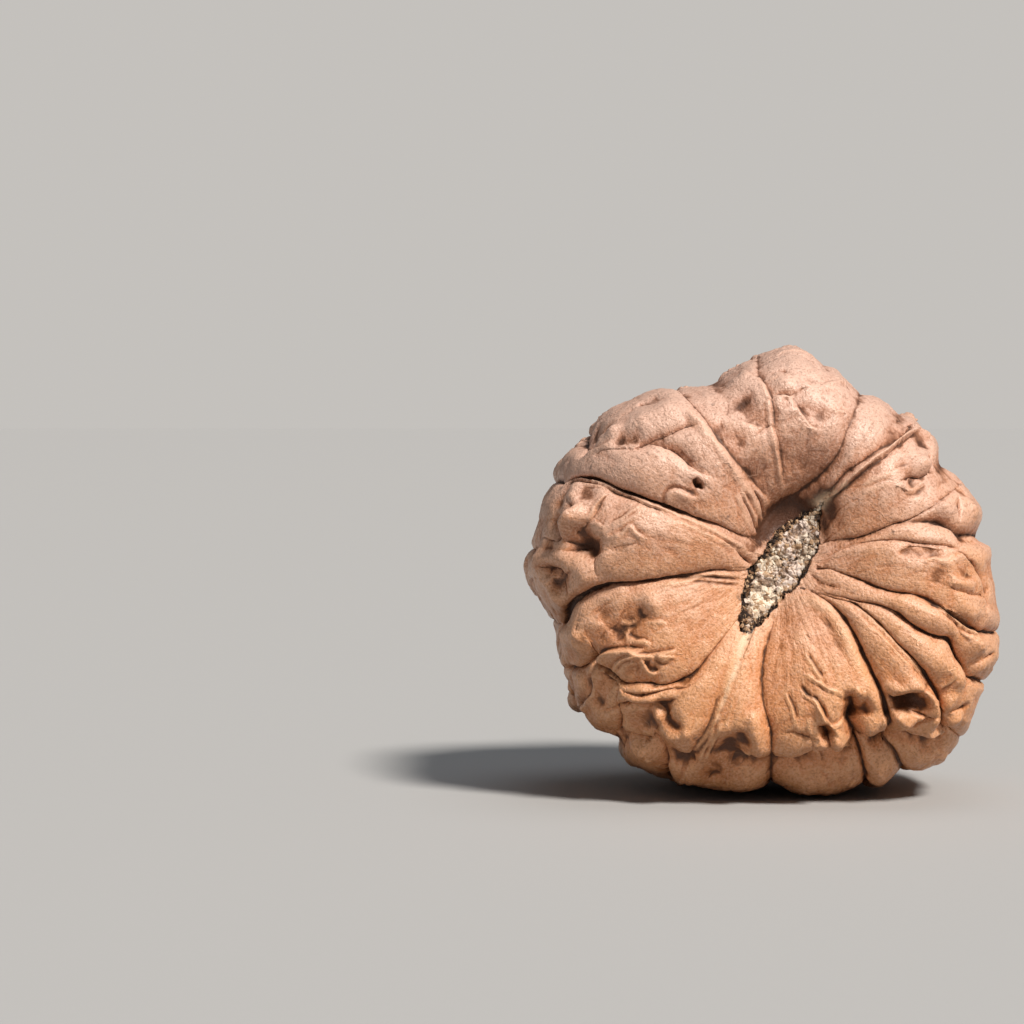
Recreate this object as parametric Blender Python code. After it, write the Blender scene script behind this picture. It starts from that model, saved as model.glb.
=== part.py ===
"""A large hand walnut, lying on its side on a small flat spot, with its stem scar to the front.

Row frame, in metres: X to the right, Z up, -Y towards the viewer, who faces the stem scar.
The nut's own axis runs along Y, from the stem scar in front (-Y) to the pointed tip behind (+Y).
A clock angle is measured round that axis from straight up, clockwise as the viewer sees it.

The nut is two pieces: the folded woody shell, and the corky plug that fills its stem scar.
"""

import math

import bmesh
import bpy

MM = 0.001

# Driving dimensions of the nut
FRONT_DEPTH = 18.8 * MM
BACK_DEPTH = 17.6 * MM
TIP_HEIGHT = 2.4 * MM
TIP_SPREAD = 2.6 * MM
FRONT_ROUNDNESS = 2.35
BACK_ROUNDNESS = 2.15
NUT_CENTRE = (-0.35 * MM, -1.0 * MM, 20.75 * MM)

# Outline seen from the front: radius in mm at every 15 degrees of clock angle
OUTLINE_MM = (
    20.4, 19.8, 19.0, 19.5, 19.8, 20.7, 21.0, 22.3, 22.9, 23.9, 22.6, 21.0,
    20.6, 20.7, 21.4, 21.4, 21.2, 20.8, 21.7, 21.3, 21.1, 20.3, 19.4, 18.3,
)
OUTLINE_STEP = 360 / len(OUTLINE_MM)

# Stem scar: a lens with two sharp ends, lying along the seam between the nut's two halves
SCAR_CENTRE = (0.8 * MM, 1.0 * MM)
SCAR_TILT = 33
SCAR_HALF_LENGTH = 6.8 * MM
SCAR_HALF_WIDTH = 2.15 * MM
SCAR_RECESS = 4.2 * MM
SCAR_FUNNEL = 4.6 * MM
POCKET_DEPTH = 2.4 * MM
PLUG_GAP = 0.35 * MM
PLUG_GRAIN = 0.28 * MM
PLUG_RINGS = (0.8, 0.55, 0.3)
PLUG_SIDES = 44

# Folds: clock angle where each leaves the scar, clock angle where it crosses the rim, depth in mm
FOLDS = (
    (2, 357, 0.9),
    (20, 31, 1.1),
    (33, 47, 1.3),
    (62, 79, 1.3),
    (84, 93, 0.8),
    (96, 106, 1.0),
    (110, 120, 1.1),
    (128, 133, 1.2),
    (150, 147, 1.4),
    (186, 178, 1.0),
    (213, 199, 1.2),
    (237, 228, 1.2),
    (254, 243, 0.9),
    (272, 257, 1.6),
    (288, 276, 0.7),
    (304, 291, 1.5),
    (326, 311, 0.9),
    (345, 335, 1.1),
)
LOBE_ROUNDNESS = 0.62
LOBE_SHARE_OF_GAP = 0.26
COLUMN_SPACING = 4.6

# Knobs: the lobes wander and swell as they run back round the nut's side
KNOB_SWELL = 0.45
KNOB_WAVES = 7
KNOB_TWIST = 5
WANDER = 5
WANDER_WAVES = 3
LOBES_END_AT_TIP = 1.3

# Seam rib: the raised rim that joins the two halves round the side and back
SEAM_CLOCKS = (47, 199)
SEAM_HEIGHT = 0.9 * MM
SEAM_SPREAD = 7

FRONT_ROWS = 17
BACK_ROWS = 16
LAST_RING = 0.03
REST_LEVEL = 0.0


def outline_radius(clock):
    """Radius of the nut's outline at a clock angle, smooth between the measured radii."""
    place = (clock % 360) / OUTLINE_STEP
    first = int(place)
    share = place - first
    before, start, end, after = (OUTLINE_MM[(first + k) % len(OUTLINE_MM)] for k in (-1, 0, 1, 2))
    slope_in = (end - before) / 2
    slope_out = (after - start) / 2
    bend = 3 * (end - start) - 2 * slope_in - slope_out
    twist = 2 * (start - end) + slope_in + slope_out
    return MM * (start + slope_in * share + bend * share**2 + twist * share**3)


def on_clock(radius, clock):
    """Point (x, z) at a distance and clock angle."""
    angle = math.radians(clock)
    return radius * math.sin(angle), radius * math.cos(angle)


def scar_point(clock, shrink=0.0):
    """Point (x, z) on the edge of the lens-shaped scar, in the direction of a clock angle."""
    across, along = on_clock(1.0, clock - SCAR_TILT)
    quadratic = (along / (SCAR_HALF_LENGTH - 2 * shrink)) ** 2
    linear = abs(across) / (SCAR_HALF_WIDTH - shrink)
    if quadratic < 1e-9:
        radius = 1 / linear
    else:
        radius = (math.sqrt(linear**2 + 4 * quadratic) - linear) / (2 * quadratic)
    x, z = on_clock(radius, clock)
    return SCAR_CENTRE[0] + x, SCAR_CENTRE[1] + z


def swell(angle, centre, spread):
    """1 at the centre angle, falling smoothly to 0 away from it."""
    apart = (angle - centre + 180) % 360 - 180
    return math.exp(-((apart / spread) ** 2))


def columns():
    """Every column of the shell as (scar clock, rim clock, lobe height), valley to valley."""
    made = []
    for number, (scar_clock, rim_clock, depth) in enumerate(FOLDS):
        next_scar, next_rim, next_depth = FOLDS[(number + 1) % len(FOLDS)]
        scar_gap = (next_scar - scar_clock) % 360
        rim_gap = (next_rim - rim_clock) % 360
        steps = max(3, round(rim_gap / COLUMN_SPACING))
        width = outline_radius(rim_clock) * math.radians(rim_gap)
        height = min(MM * (depth + next_depth) / 2, LOBE_SHARE_OF_GAP * width)
        for step in range(steps):
            share = step / steps
            rounded = math.sin(math.pi * share) ** LOBE_ROUNDNESS
            made.append((scar_clock + scar_gap * share, rim_clock + rim_gap * share, height * rounded))
    return made


def knob(rim_clock, down):
    """How much a lobe swells where it passes an angle behind the rim."""
    return 1 + KNOB_SWELL * math.sin(math.radians(KNOB_WAVES * down + KNOB_TWIST * rim_clock))


def pushed_out(point, distance):
    """The point moved straight away from the nut's centre."""
    length = math.sqrt(sum(value**2 for value in point))
    return tuple(value * (1 + distance / length) for value in point)


def front_point(column, travel):
    """Point of a column between the scar's edge (travel 0) and the rim (travel 1)."""
    scar_clock, rim_clock, lobe = column
    scar_x, scar_z = scar_point(scar_clock)
    rim_x, rim_z = on_clock(outline_radius(rim_clock), rim_clock)
    x = scar_x + (rim_x - scar_x) * travel
    z = scar_z + (rim_z - scar_z) * travel
    from_scar = travel * math.hypot(rim_x - scar_x, rim_z - scar_z)
    clock = math.degrees(math.atan2(x, z))
    share = min(1.0, math.hypot(x, z) / outline_radius(clock))
    y = -FRONT_DEPTH * (1 - share**FRONT_ROUNDNESS) ** (1 / FRONT_ROUNDNESS)
    y += SCAR_RECESS * math.exp(-((from_scar / SCAR_FUNNEL) ** 1.5))
    rising = 0.25 + 0.75 * math.sin(math.pi * min(travel, 0.5))
    return pushed_out((x, y, z), lobe * rising * knob(rim_clock, 90 * (travel - 1) * travel**2))


def back_point(column, share):
    """Point of a column between the rim (share 1) and the tip (share near 0)."""
    rim_clock, lobe = column[1:]
    down = math.degrees(math.acos(share))
    wander = math.sin(math.radians(WANDER_WAVES * down)) * math.cos(math.radians(2 * rim_clock))
    radius = outline_radius(rim_clock) * share
    x, z = on_clock(radius, rim_clock + WANDER * wander)
    y = BACK_DEPTH * (1 - share**BACK_ROUNDNESS) ** (1 / BACK_ROUNDNESS)
    y += TIP_HEIGHT * math.exp(-radius / TIP_SPREAD)
    seam = sum(swell(rim_clock, clock, SEAM_SPREAD) for clock in SEAM_CLOCKS)
    rib = SEAM_HEIGHT * seam * math.sin(math.radians(down))
    return pushed_out((x, y, z), lobe * knob(rim_clock, down) * share**LOBES_END_AT_TIP + rib)


def placed(point):
    """A point of the nut's own frame put in the row frame."""
    return tuple(value + centre for value, centre in zip(point, NUT_CENTRE))


def bridge(bm, upper, lower):
    """Joins two rings of vertices that have the same count."""
    for number, vertex in enumerate(upper):
        after = (number + 1) % len(upper)
        bm.faces.new((vertex, upper[after], lower[after], lower[number]))


def flat_rest(bm):
    """Cuts the nut off at the surface it lies on, which leaves its small flat spot."""
    whole = bm.verts[:] + bm.edges[:] + bm.faces[:]
    bmesh.ops.bisect_plane(
        bm, geom=whole, dist=1e-7, plane_co=(0, 0, REST_LEVEL), plane_no=(0, 0, -1), clear_outer=True
    )
    rim = [edge for edge in bm.edges if edge.is_boundary]
    bmesh.ops.holes_fill(bm, edges=rim, sides=0)


def shell_mesh():
    """The folded shell: pocket floor, scar edge, front lobes, rim, back lobes and tip, as rings."""
    bm = bmesh.new()
    made = columns()
    floor_level = -FRONT_DEPTH + SCAR_RECESS + POCKET_DEPTH
    floor = []
    for column in made:
        x, z = scar_point(column[0])
        floor.append(bm.verts.new(placed((x, floor_level, z))))
    rings = [floor]
    for row in range(FRONT_ROWS):
        travel = math.sin(math.radians(90 * row / (FRONT_ROWS - 1)))
        rings.append([bm.verts.new(placed(front_point(column, travel))) for column in made])
    for row in range(1, BACK_ROWS + 1):
        share = max(LAST_RING, math.cos(math.radians(90 * row / BACK_ROWS)))
        rings.append([bm.verts.new(placed(back_point(column, share))) for column in made])
    for upper, lower in zip(rings, rings[1:]):
        bridge(bm, upper, lower)
    bm.faces.new(floor)
    bm.faces.new(list(reversed(rings[-1])))
    bmesh.ops.recalc_face_normals(bm, faces=bm.faces)
    flat_rest(bm)
    return bm


def grain(number, ring):
    """Repeatable roughness of the broken cork, from -1 to 1."""
    return math.sin(number * 12.9898 + ring * 78.233) * math.cos(number * 4.1414 - ring * 9.7)


def plug_mesh():
    """The corky plug: the pocket's lens less its gap, flat below and broken rough on top."""
    bm = bmesh.new()
    floor_level = -FRONT_DEPTH + SCAR_RECESS + POCKET_DEPTH
    top_level = -FRONT_DEPTH + SCAR_RECESS
    clocks = [SCAR_TILT + 360 * (number + 0.5) / PLUG_SIDES for number in range(PLUG_SIDES)]
    edge = [scar_point(clock, PLUG_GAP) for clock in clocks]
    below = [bm.verts.new(placed((x, floor_level - PLUG_GAP, z))) for x, z in edge]
    rings = [below]
    for ring, size in enumerate((1.0, *PLUG_RINGS)):
        level = []
        for number, (x, z) in enumerate(edge):
            inward_x = SCAR_CENTRE[0] + (x - SCAR_CENTRE[0]) * size
            inward_z = SCAR_CENTRE[1] + (z - SCAR_CENTRE[1]) * size
            rough = PLUG_GRAIN * grain(number, ring) * (1.2 - size)
            level.append(bm.verts.new(placed((inward_x, top_level + rough, inward_z))))
        rings.append(level)
    for upper, lower in zip(rings, rings[1:]):
        bridge(bm, upper, lower)
    bm.faces.new(below)
    bm.faces.new(list(reversed(rings[-1])))
    bmesh.ops.recalc_face_normals(bm, faces=bm.faces)
    return bm


def finish(name, colour, roughness):
    """Principled material with one plain colour."""
    made = bpy.data.materials.new(name)
    made.use_nodes = True
    shader = made.node_tree.nodes["Principled BSDF"]
    shader.inputs["Base Color"].default_value = (*colour, 1.0)
    shader.inputs["Roughness"].default_value = roughness
    shader.inputs["Metallic"].default_value = 0.0
    return made


def add_piece(name, bm, material):
    """Turns a bmesh into the named object, shaded smooth with its sharp edges kept."""
    mesh = bpy.data.meshes.new(name)
    bmesh.ops.triangulate(bm, faces=bm.faces)
    bm.to_mesh(mesh)
    bm.free()
    mesh.materials.append(material)
    mesh.shade_smooth()
    mesh.set_sharp_from_angle(angle=math.radians(50))
    piece = bpy.data.objects.new(name, mesh)
    bpy.context.scene.collection.objects.link(piece)
    return piece


for old in list(bpy.data.objects):
    bpy.data.objects.remove(old)

add_piece("walnut_shell", shell_mesh(), finish("oiled_shell", (0.46, 0.24, 0.13), 0.45))
add_piece("stem_scar_plug", plug_mesh(), finish("corky_pith", (0.72, 0.60, 0.45), 0.95))
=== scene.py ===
# %% [markdown]
# # A hand walnut, carved by strokes
#
# A collector's walnut is one woody shell: two halves grown together, folded like a crumpled glove, with a
# crumb of dry cork left in the slot where its stem grew. Such a form could be sculpted by hand, but a script
# has no hands. Here the nut starts as a plain round form and is carved by strokes: each fold, wrinkle, knob
# and hollow is a short list of places, read from the front view, which is thrown onto the form along
# the camera's own rays. So every mark lands where it is seen, and the same few tools carve all of them.

import math

import bmesh
import bpy
import numpy as np
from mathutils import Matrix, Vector


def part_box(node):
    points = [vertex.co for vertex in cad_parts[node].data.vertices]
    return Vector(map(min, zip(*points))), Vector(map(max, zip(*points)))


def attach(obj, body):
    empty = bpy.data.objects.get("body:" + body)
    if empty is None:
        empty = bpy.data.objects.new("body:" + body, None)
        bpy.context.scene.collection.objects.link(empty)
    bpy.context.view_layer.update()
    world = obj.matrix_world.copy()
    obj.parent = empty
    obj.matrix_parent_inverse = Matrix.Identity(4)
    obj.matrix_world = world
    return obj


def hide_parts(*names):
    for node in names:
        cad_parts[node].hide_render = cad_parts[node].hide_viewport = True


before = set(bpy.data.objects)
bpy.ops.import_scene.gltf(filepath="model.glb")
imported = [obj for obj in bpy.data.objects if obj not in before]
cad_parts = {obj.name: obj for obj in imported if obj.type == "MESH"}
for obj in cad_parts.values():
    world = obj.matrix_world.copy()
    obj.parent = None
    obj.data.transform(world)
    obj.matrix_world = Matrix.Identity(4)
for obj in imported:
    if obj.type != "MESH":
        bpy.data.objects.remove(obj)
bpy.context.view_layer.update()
MM = 0.001
shell_low, shell_high = (np.array(corner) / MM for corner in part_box("walnut_shell"))
plug_low, plug_high = (np.array(corner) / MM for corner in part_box("stem_scar_plug"))
print("shell, mm:", (shell_high - shell_low).round(1), "plug, mm:", (plug_high - plug_low).round(1))

# %% [markdown]
# ## The camera first
#
# The nut is seen from the front, a little above its middle, and sits right of the middle of the picture.
# The camera comes first because the strokes are given in pixels of a 1024-pixel picture: a pixel is a ray
# from the camera, and where the ray meets the nut is where the mark goes. The camera stands level with the
# picture's middle column, so that nothing has to be shifted, and nods until the nut's middle is in place.

# %% Camera and the ray of a pixel
PICTURE = 1024
SENSOR = 36.0
NUT_PIXEL = (762.0, 568.0)
MM_PER_PIXEL = 0.0945
CAMERA_DISTANCE = 300.0
CAMERA_ELEVATION = 3.0
CENTRE = np.array((-0.1, -1.0, 20.75))

lens = SENSOR * CAMERA_DISTANCE / (PICTURE * MM_PER_PIXEL)
aside = (NUT_PIXEL[0] - PICTURE / 2) * MM_PER_PIXEL
below_middle = (NUT_PIXEL[1] - PICTURE / 2) * MM_PER_PIXEL
nod = math.radians(CAMERA_ELEVATION) - math.atan2(below_middle, CAMERA_DISTANCE)
CAMERA_AT = CENTRE + np.array((
    -aside, -CAMERA_DISTANCE, CAMERA_DISTANCE * math.tan(math.radians(CAMERA_ELEVATION))
))
FORWARD = np.array((0.0, math.cos(nod), -math.sin(nod)))
UPWARD = np.array((0.0, math.sin(nod), math.cos(nod)))
RIGHTWARD = np.array((1.0, 0.0, 0.0))


def pixel_rays(pixels):
    """Unit direction, from the camera, of each pixel (x, y) of the square picture."""
    flat = (np.asarray(pixels, float) - PICTURE / 2) * SENSOR / PICTURE / lens
    rays = FORWARD + flat[:, :1] * RIGHTWARD - flat[:, 1:] * UPWARD
    return rays / np.linalg.norm(rays, axis=1)[:, None]


def trail(text):
    """The pixels that a text such as '790,487 785,470' lists."""
    return [tuple(float(number) for number in pair.split(",")) for pair in text.split()]


print(f"lens {lens:.1f} mm, camera at {CAMERA_AT.round(1)} mm")

# %% [markdown]
# ## The plain form
#
# Before its folds, the nut is a squat round body. Seen from the front it has the outline that its lobes
# reach, and seen from the side it is an oval, fuller in front, with a blunt point behind. A superellipse
# gives that side view with two numbers, its depth and its fullness, and lets the radius be written as one
# formula of the direction from the nut's centre. A clock angle turns round the nut's axis from straight
# up, clockwise as seen from the front, and a polar angle goes from 0 at the stem scar to 180 at the tip.

# %% The plain form as a radius in each direction
OUTLINE = trail(
    "787,344 797,346 806,354 812,361 818,369 823,364 831,368 840,378 851,385 858,391 865,390 873,397 "
    "883,404 889,415 906,415 911,419 913,430 922,431 930,433 929,445 926,455 927,465 940,467 948,474 "
    "956,484 963,492 970,498 978,504 979,513 976,523 976,531 984,537 989,544 979,554 978,567 982,580 "
    "984,597 996,611 1003,629 996,639 990,653 987,668 989,683 975,689 966,697 961,707 963,716 965,729 "
    "965,742 949,743 940,752 933,760 921,768 905,773 888,776 874,784 860,788 840,786 820,786 795,789 "
    "770,784 745,784 715,783 690,781 679,779 660,773 643,767 630,763 622,757 620,747 619,737 618,727 "
    "606,727 598,722 592,718 580,717 576,709 576,696 571,688 569,680 561,674 554,667 554,656 557,648 "
    "551,637 541,627 540,613 534,601 530,590 527,580 524,566 525,553 528,542 535,528 538,514 539,501 "
    "544,490 544,477 550,466 558,456 568,447 579,438 589,424 603,412 620,402 638,394 651,386 665,384 "
    "681,384 698,385 711,386 719,377 730,369 741,360 750,360 753,354 758,353 769,350 779,344"
)
FRONT_DEPTH = 20.1
BACK_DEPTH = 17.6
FRONT_FULLNESS = 3.9
BACK_FULLNESS = 2.15
TIP_HEIGHT = 2.6
TIP_SPREAD = 2.4
RIM_DETAIL = 32.0
NOTCH_DETAIL = 52.0
CLOCK_TABLE = 720
CRISP_WAVES = 60
SMOOTH_WAVES = 7
REAR_STARTS = 60.0
REAR_FULL = 120.0
BOWL_DEPTH = 5.8
BOWL_SPREAD = 9.0
BOWL_POWER = 1.6
BOWL_CREST = 3.6
BOWL_FULL = 40.0
BOWL_ENDS = 80.0
SCAR_PIXEL = (783.0, 565.0)
SCAR_TILT = math.radians(34.0)
SCAR_LEVEL = CENTRE[1] - FRONT_DEPTH + BOWL_DEPTH


def outline_tables():
    """Radius of the outline at each half degree of the clock: in full, and with its small bumps smoothed."""
    across = (np.array(OUTLINE) - NUT_PIXEL) * MM_PER_PIXEL * (1, -1)
    clocks = np.degrees(np.arctan2(across[:, 0], across[:, 1])) % 360
    order = np.argsort(clocks)
    places = np.linspace(0, 360, CLOCK_TABLE, endpoint=False)
    full = np.interp(places, clocks[order], np.linalg.norm(across, axis=1)[order], period=360)
    waves = np.fft.rfft(full)
    rank = np.arange(len(waves))
    crisp = np.fft.irfft(waves * np.exp(-((rank / CRISP_WAVES) ** 2)), CLOCK_TABLE)
    smooth = np.fft.irfft(waves * np.exp(-((rank / SMOOTH_WAVES) ** 2)), CLOCK_TABLE)
    return crisp, smooth


OUTLINE_CRISP, OUTLINE_SMOOTH = outline_tables()


def angles(directions):
    """Clock and polar angle, in degrees, of unit directions from the nut's centre."""
    clock = np.degrees(np.arctan2(directions[:, 0], directions[:, 2])) % 360
    polar = np.degrees(np.arccos(np.clip(-directions[:, 1], -1, 1)))
    return clock, polar


def directions_at(clock, polar):
    """Unit directions of clock and polar angles."""
    clock, polar = np.radians(clock), np.radians(polar)
    return np.stack((np.sin(polar) * np.sin(clock), -np.cos(polar), np.sin(polar) * np.cos(clock)), axis=-1)


def table_at(table, clock):
    """A table over the clock, read between its entries."""
    return np.interp(clock, np.arange(CLOCK_TABLE + 1) * 360 / CLOCK_TABLE, np.append(table, table[0]))


def smooth_step(value):
    """0 below 0 and 1 above 1, with a soft start and end."""
    value = np.clip(value, 0, 1)
    return value * value * (3 - 2 * value)


def at_depth(pixel, depth):
    """The place in mm, from the nut's centre, where a pixel's ray reaches a depth."""
    ray = pixel_rays([pixel])[0]
    return CAMERA_AT + ray * (depth - CAMERA_AT[1]) / ray[1] - CENTRE


SCAR_MIDDLE = at_depth(SCAR_PIXEL, SCAR_LEVEL)


def scar_frame(points):
    """How far points lie across and along the scar, in mm."""
    x, z = points[:, 0] - SCAR_MIDDLE[0], points[:, 2] - SCAR_MIDDLE[2]
    across = x * math.cos(SCAR_TILT) - z * math.sin(SCAR_TILT)
    return across, x * math.sin(SCAR_TILT) + z * math.cos(SCAR_TILT)


def plain_radius(directions):
    """Distance in mm from the nut's centre to the plain form, in each direction."""
    clock, polar = angles(directions)
    across = table_at(OUTLINE_SMOOTH, clock)
    bump = table_at(OUTLINE_CRISP, clock) - across
    detail = np.where(bump < 0, NOTCH_DETAIL, RIM_DETAIL)
    across = across + bump * np.exp(-(((polar - 90) / detail) ** 2))
    behind = smooth_step((polar - REAR_STARTS) / (REAR_FULL - REAR_STARTS))
    depth = FRONT_DEPTH + (BACK_DEPTH - FRONT_DEPTH) * behind
    fullness = FRONT_FULLNESS + (BACK_FULLNESS - FRONT_FULLNESS) * behind
    sine, cosine = np.sin(np.radians(polar)), np.cos(np.radians(polar))
    radius = ((sine / across) ** fullness + (np.abs(cosine) / depth) ** fullness) ** (-1 / fullness)
    tip = TIP_HEIGHT * np.exp(-radius * sine / TIP_SPREAD) * (polar > 90)
    off, along = scar_frame(directions * radius[:, None])
    away = np.hypot(off, np.clip(np.abs(along) - BOWL_CREST, 0, None))
    bowl = BOWL_DEPTH * np.exp(-((away / BOWL_SPREAD) ** BOWL_POWER))
    bowl = bowl * smooth_step((BOWL_ENDS - polar) / (BOWL_ENDS - BOWL_FULL))
    return radius + tip - bowl * np.clip(cosine, 0, 1)


def plain_points(directions):
    """Points of the plain form, in mm from the nut's centre."""
    return directions * plain_radius(directions)[:, None]


print("outline radii, mm:", OUTLINE_CRISP.min().round(1), "to", OUTLINE_CRISP.max().round(1))

# %% Where a pixel's ray meets the plain form
MARCH_START = 265.0
MARCH_STEP = 0.5
MARCH_STEPS = 130


def directions_of_pixels(pixels):
    """Directions, from the nut's centre, of the places on the plain form that the pixels show."""
    rays = pixel_rays(pixels)
    found = []
    for ray in rays:
        along = MARCH_START + MARCH_STEP * np.arange(MARCH_STEPS)
        places = CAMERA_AT + along[:, None] * ray - CENTRE
        reach = np.linalg.norm(places, axis=1)
        above = reach - plain_radius(places / reach[:, None])
        inside = np.flatnonzero(above < 0)
        if len(inside):
            first = inside[0]
            share = above[first - 1] / (above[first - 1] - above[first])
            place = places[first - 1] + share * (places[first] - places[first - 1])
        else:
            place = places[np.argmin(above)]
        found.append(place / np.linalg.norm(place))
    return np.array(found)


nut_middle = directions_of_pixels([NUT_PIXEL])[0]
print("the nut's middle pixel looks at", (nut_middle * plain_radius(nut_middle[None])[0]).round(1), "mm")

# %% [markdown]
# ## A dense ball to carve
#
# Carving moves points, so the form needs many of them, evenly spread, with no pole: an icosphere. Its
# directions are drawn a little towards the front, where the marks are finest.

# %% The ball's points and faces
FINE_LEVEL = 9
DRAWN_FORWARD = 0.26


def read_mesh(mesh):
    """Points and triangles of a mesh, in the mesh's own unit."""
    points = np.empty(len(mesh.vertices) * 3, np.float32)
    corners = np.empty(len(mesh.loops), np.int32)
    mesh.vertices.foreach_get("co", points)
    mesh.loops.foreach_get("vertex_index", corners)
    return points.reshape(-1, 3).astype(float), corners.reshape(-1, 3)


def ball(level):
    """Unit directions and triangles of an icosphere."""
    bm = bmesh.new()
    bmesh.ops.create_icosphere(bm, subdivisions=level, radius=1.0)
    mesh = bpy.data.meshes.new("ball")
    bm.to_mesh(mesh)
    bm.free()
    points, triangles = read_mesh(mesh)
    bpy.data.meshes.remove(mesh)
    points[:, 1] -= DRAWN_FORWARD * (1 - points[:, 1] ** 2)
    return points / np.linalg.norm(points, axis=1)[:, None], triangles


def vertex_normals(points, faces):
    """Unit normals of a triangle mesh's vertices."""
    a, b, c = (points[faces[:, k]] for k in range(3))
    normal = np.cross(b - a, c - a)
    summed = np.stack([
        sum(np.bincount(faces[:, k], normal[:, axis], len(points)) for k in range(3))
        for axis in range(3)
    ], axis=1)
    return summed / np.linalg.norm(summed, axis=1)[:, None]


BALL, FACES = ball(FINE_LEVEL)
PLAIN = plain_points(BALL)
NORMALS = vertex_normals(PLAIN, FACES)
CLOCK, POLAR = angles(BALL)
print(len(PLAIN), "points,", len(FACES), "triangles")

# %% [markdown]
# ## Carving tools
#
# A stroke is a smooth curve on the plain form. For every point near it, the tool needs three numbers: how
# far the point is to the side, on which side, and how far along the stroke it is. A grid of small cells
# finds the points near each piece of a stroke, so a long list of strokes costs little. Left and right are
# those of someone who walks along the stroke on the nut's outside.

# %% Strokes on the surface
CELL = 2.0
SPACING = 0.3
CURVE_STEPS = 12
PIECE = 10
LEAST_TRAVEL = 1e-3


def cell_of(points):
    """Whole-number cell of each point."""
    return np.floor(np.asarray(points) / CELL).astype(int)


def sorted_into_cells(points):
    """A dictionary from each cell to the points in it."""
    cells = cell_of(points)
    order = np.lexsort(cells.T)
    cells = cells[order]
    starts = np.flatnonzero(np.append(True, (np.diff(cells, axis=0) != 0).any(axis=1)))
    groups = np.split(order, starts[1:])
    return {tuple(cells[start]): group for start, group in zip(starts, groups)}


CELLS = sorted_into_cells(PLAIN)


def points_near(places, reach):
    """Every point of the plain form in a cell that a box round the places, grown by reach, touches."""
    low, high = cell_of(places.min(0) - reach), cell_of(places.max(0) + reach)
    spans = [range(low[axis], high[axis] + 1) for axis in range(3)]
    keys = ((x, y, z) for x in spans[0] for y in spans[1] for z in spans[2])
    groups = [CELLS[key] for key in keys if key in CELLS]
    return np.concatenate(groups) if groups else np.empty(0, int)


def smooth_line(knots):
    """Evenly spaced directions on a smooth curve through knot directions."""
    knots = np.asarray(knots)
    padded = np.vstack((2 * knots[0] - knots[1], knots, 2 * knots[-1] - knots[-2]))
    share = np.linspace(0, 1, CURVE_STEPS, endpoint=False)[:, None]
    pieces = []
    for a, b, c, d in zip(padded, padded[1:], padded[2:], padded[3:]):
        pieces.append(0.5 * (2 * b + (c - a) * share + (2 * a - 5 * b + 4 * c - d) * share**2
                             + (3 * b - a - 3 * c + d) * share**3))
    line = np.vstack((*pieces, knots[-1:]))
    line /= np.linalg.norm(line, axis=1)[:, None]
    places = plain_points(line)
    gone = np.append(0, np.cumsum(np.linalg.norm(np.diff(places, axis=0), axis=1)))
    marks = np.linspace(0, gone[-1], max(3, round(gone[-1] / SPACING) + 1))
    line = np.stack([np.interp(marks, gone, line[:, axis]) for axis in range(3)], axis=1)
    return line / np.linalg.norm(line, axis=1)[:, None]


class Stroke:
    """A smooth curve on the plain form, and what the points near it need to know of it."""

    def __init__(self, pixels=(), then=()):
        """pixels are places seen from the front, and then are (clock, polar) places that come after."""
        knots = [directions_of_pixels(pixels)] if len(pixels) else []
        if len(then):
            clock, polar = np.array(then, float).T
            knots.append(directions_at(clock, polar))
        knots = np.vstack(knots)
        if len(knots) == 1:
            knots = np.vstack((knots, knots + LEAST_TRAVEL * np.roll(knots, 1)))
        line = smooth_line(knots)
        self.line = line
        self.places = plain_points(line)
        self.travel = np.gradient(self.places, axis=0)
        self.travel /= np.linalg.norm(self.travel, axis=1)[:, None]
        self.leftward = np.cross(line, self.travel)
        self.leftward /= np.linalg.norm(self.leftward, axis=1)[:, None]
        self.share = np.linspace(0, 1, len(line))

    def around(self, reach):
        """Points within reach: which, how far to the side (left is plus), share along, and left vector."""
        chosen, nearest, at = [], [], []
        for start in range(0, len(self.places), PIECE):
            piece = self.places[start:start + PIECE]
            near = points_near(piece, reach)
            if not len(near):
                continue
            apart = ((PLAIN[near][:, None, :] - piece[None]) ** 2).sum(2)
            closest = apart.argmin(1)
            squared = apart[np.arange(len(near)), closest]
            keep = squared < (reach + SPACING) ** 2
            chosen.append(near[keep])
            nearest.append(squared[keep])
            at.append(closest[keep] + start)
        if not chosen:
            return np.empty(0, int), np.empty(0), np.empty(0), np.empty((0, 3))
        chosen, nearest, at = map(np.concatenate, (chosen, nearest, at))
        order = np.lexsort((nearest, chosen))
        chosen, at = chosen[order], at[order]
        first = np.append(True, np.diff(chosen) != 0)
        chosen, at = chosen[first], at[first]
        apart = PLAIN[chosen] - self.places[at]
        along = (apart * self.travel[at]).sum(1)
        beyond = np.maximum(np.abs(along) - SPACING / 2, 0) * np.isin(at, (0, len(self.places) - 1))
        inner = np.clip(along, -SPACING / 2, SPACING / 2)
        off = apart - along[:, None] * self.travel[at]
        leftward = self.leftward[at]
        left = (off * leftward).sum(1)
        away = np.sqrt((off**2).sum(1) + beyond**2)
        keep = away < reach
        share = np.clip(self.share[at] + inner / SPACING / len(self.places), 0, 1)
        side = np.where(left < 0, -away, away)
        return chosen[keep], side[keep], share[keep], leftward[keep]


def along_stroke(values, share):
    """Values spread evenly along a stroke, read at a share of the way. A single number stays as it is."""
    if np.isscalar(values):
        return np.full(len(share), float(values))
    return np.interp(share, np.linspace(0, 1, len(values)), values)


print(len(CELLS), "cells of points")

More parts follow.
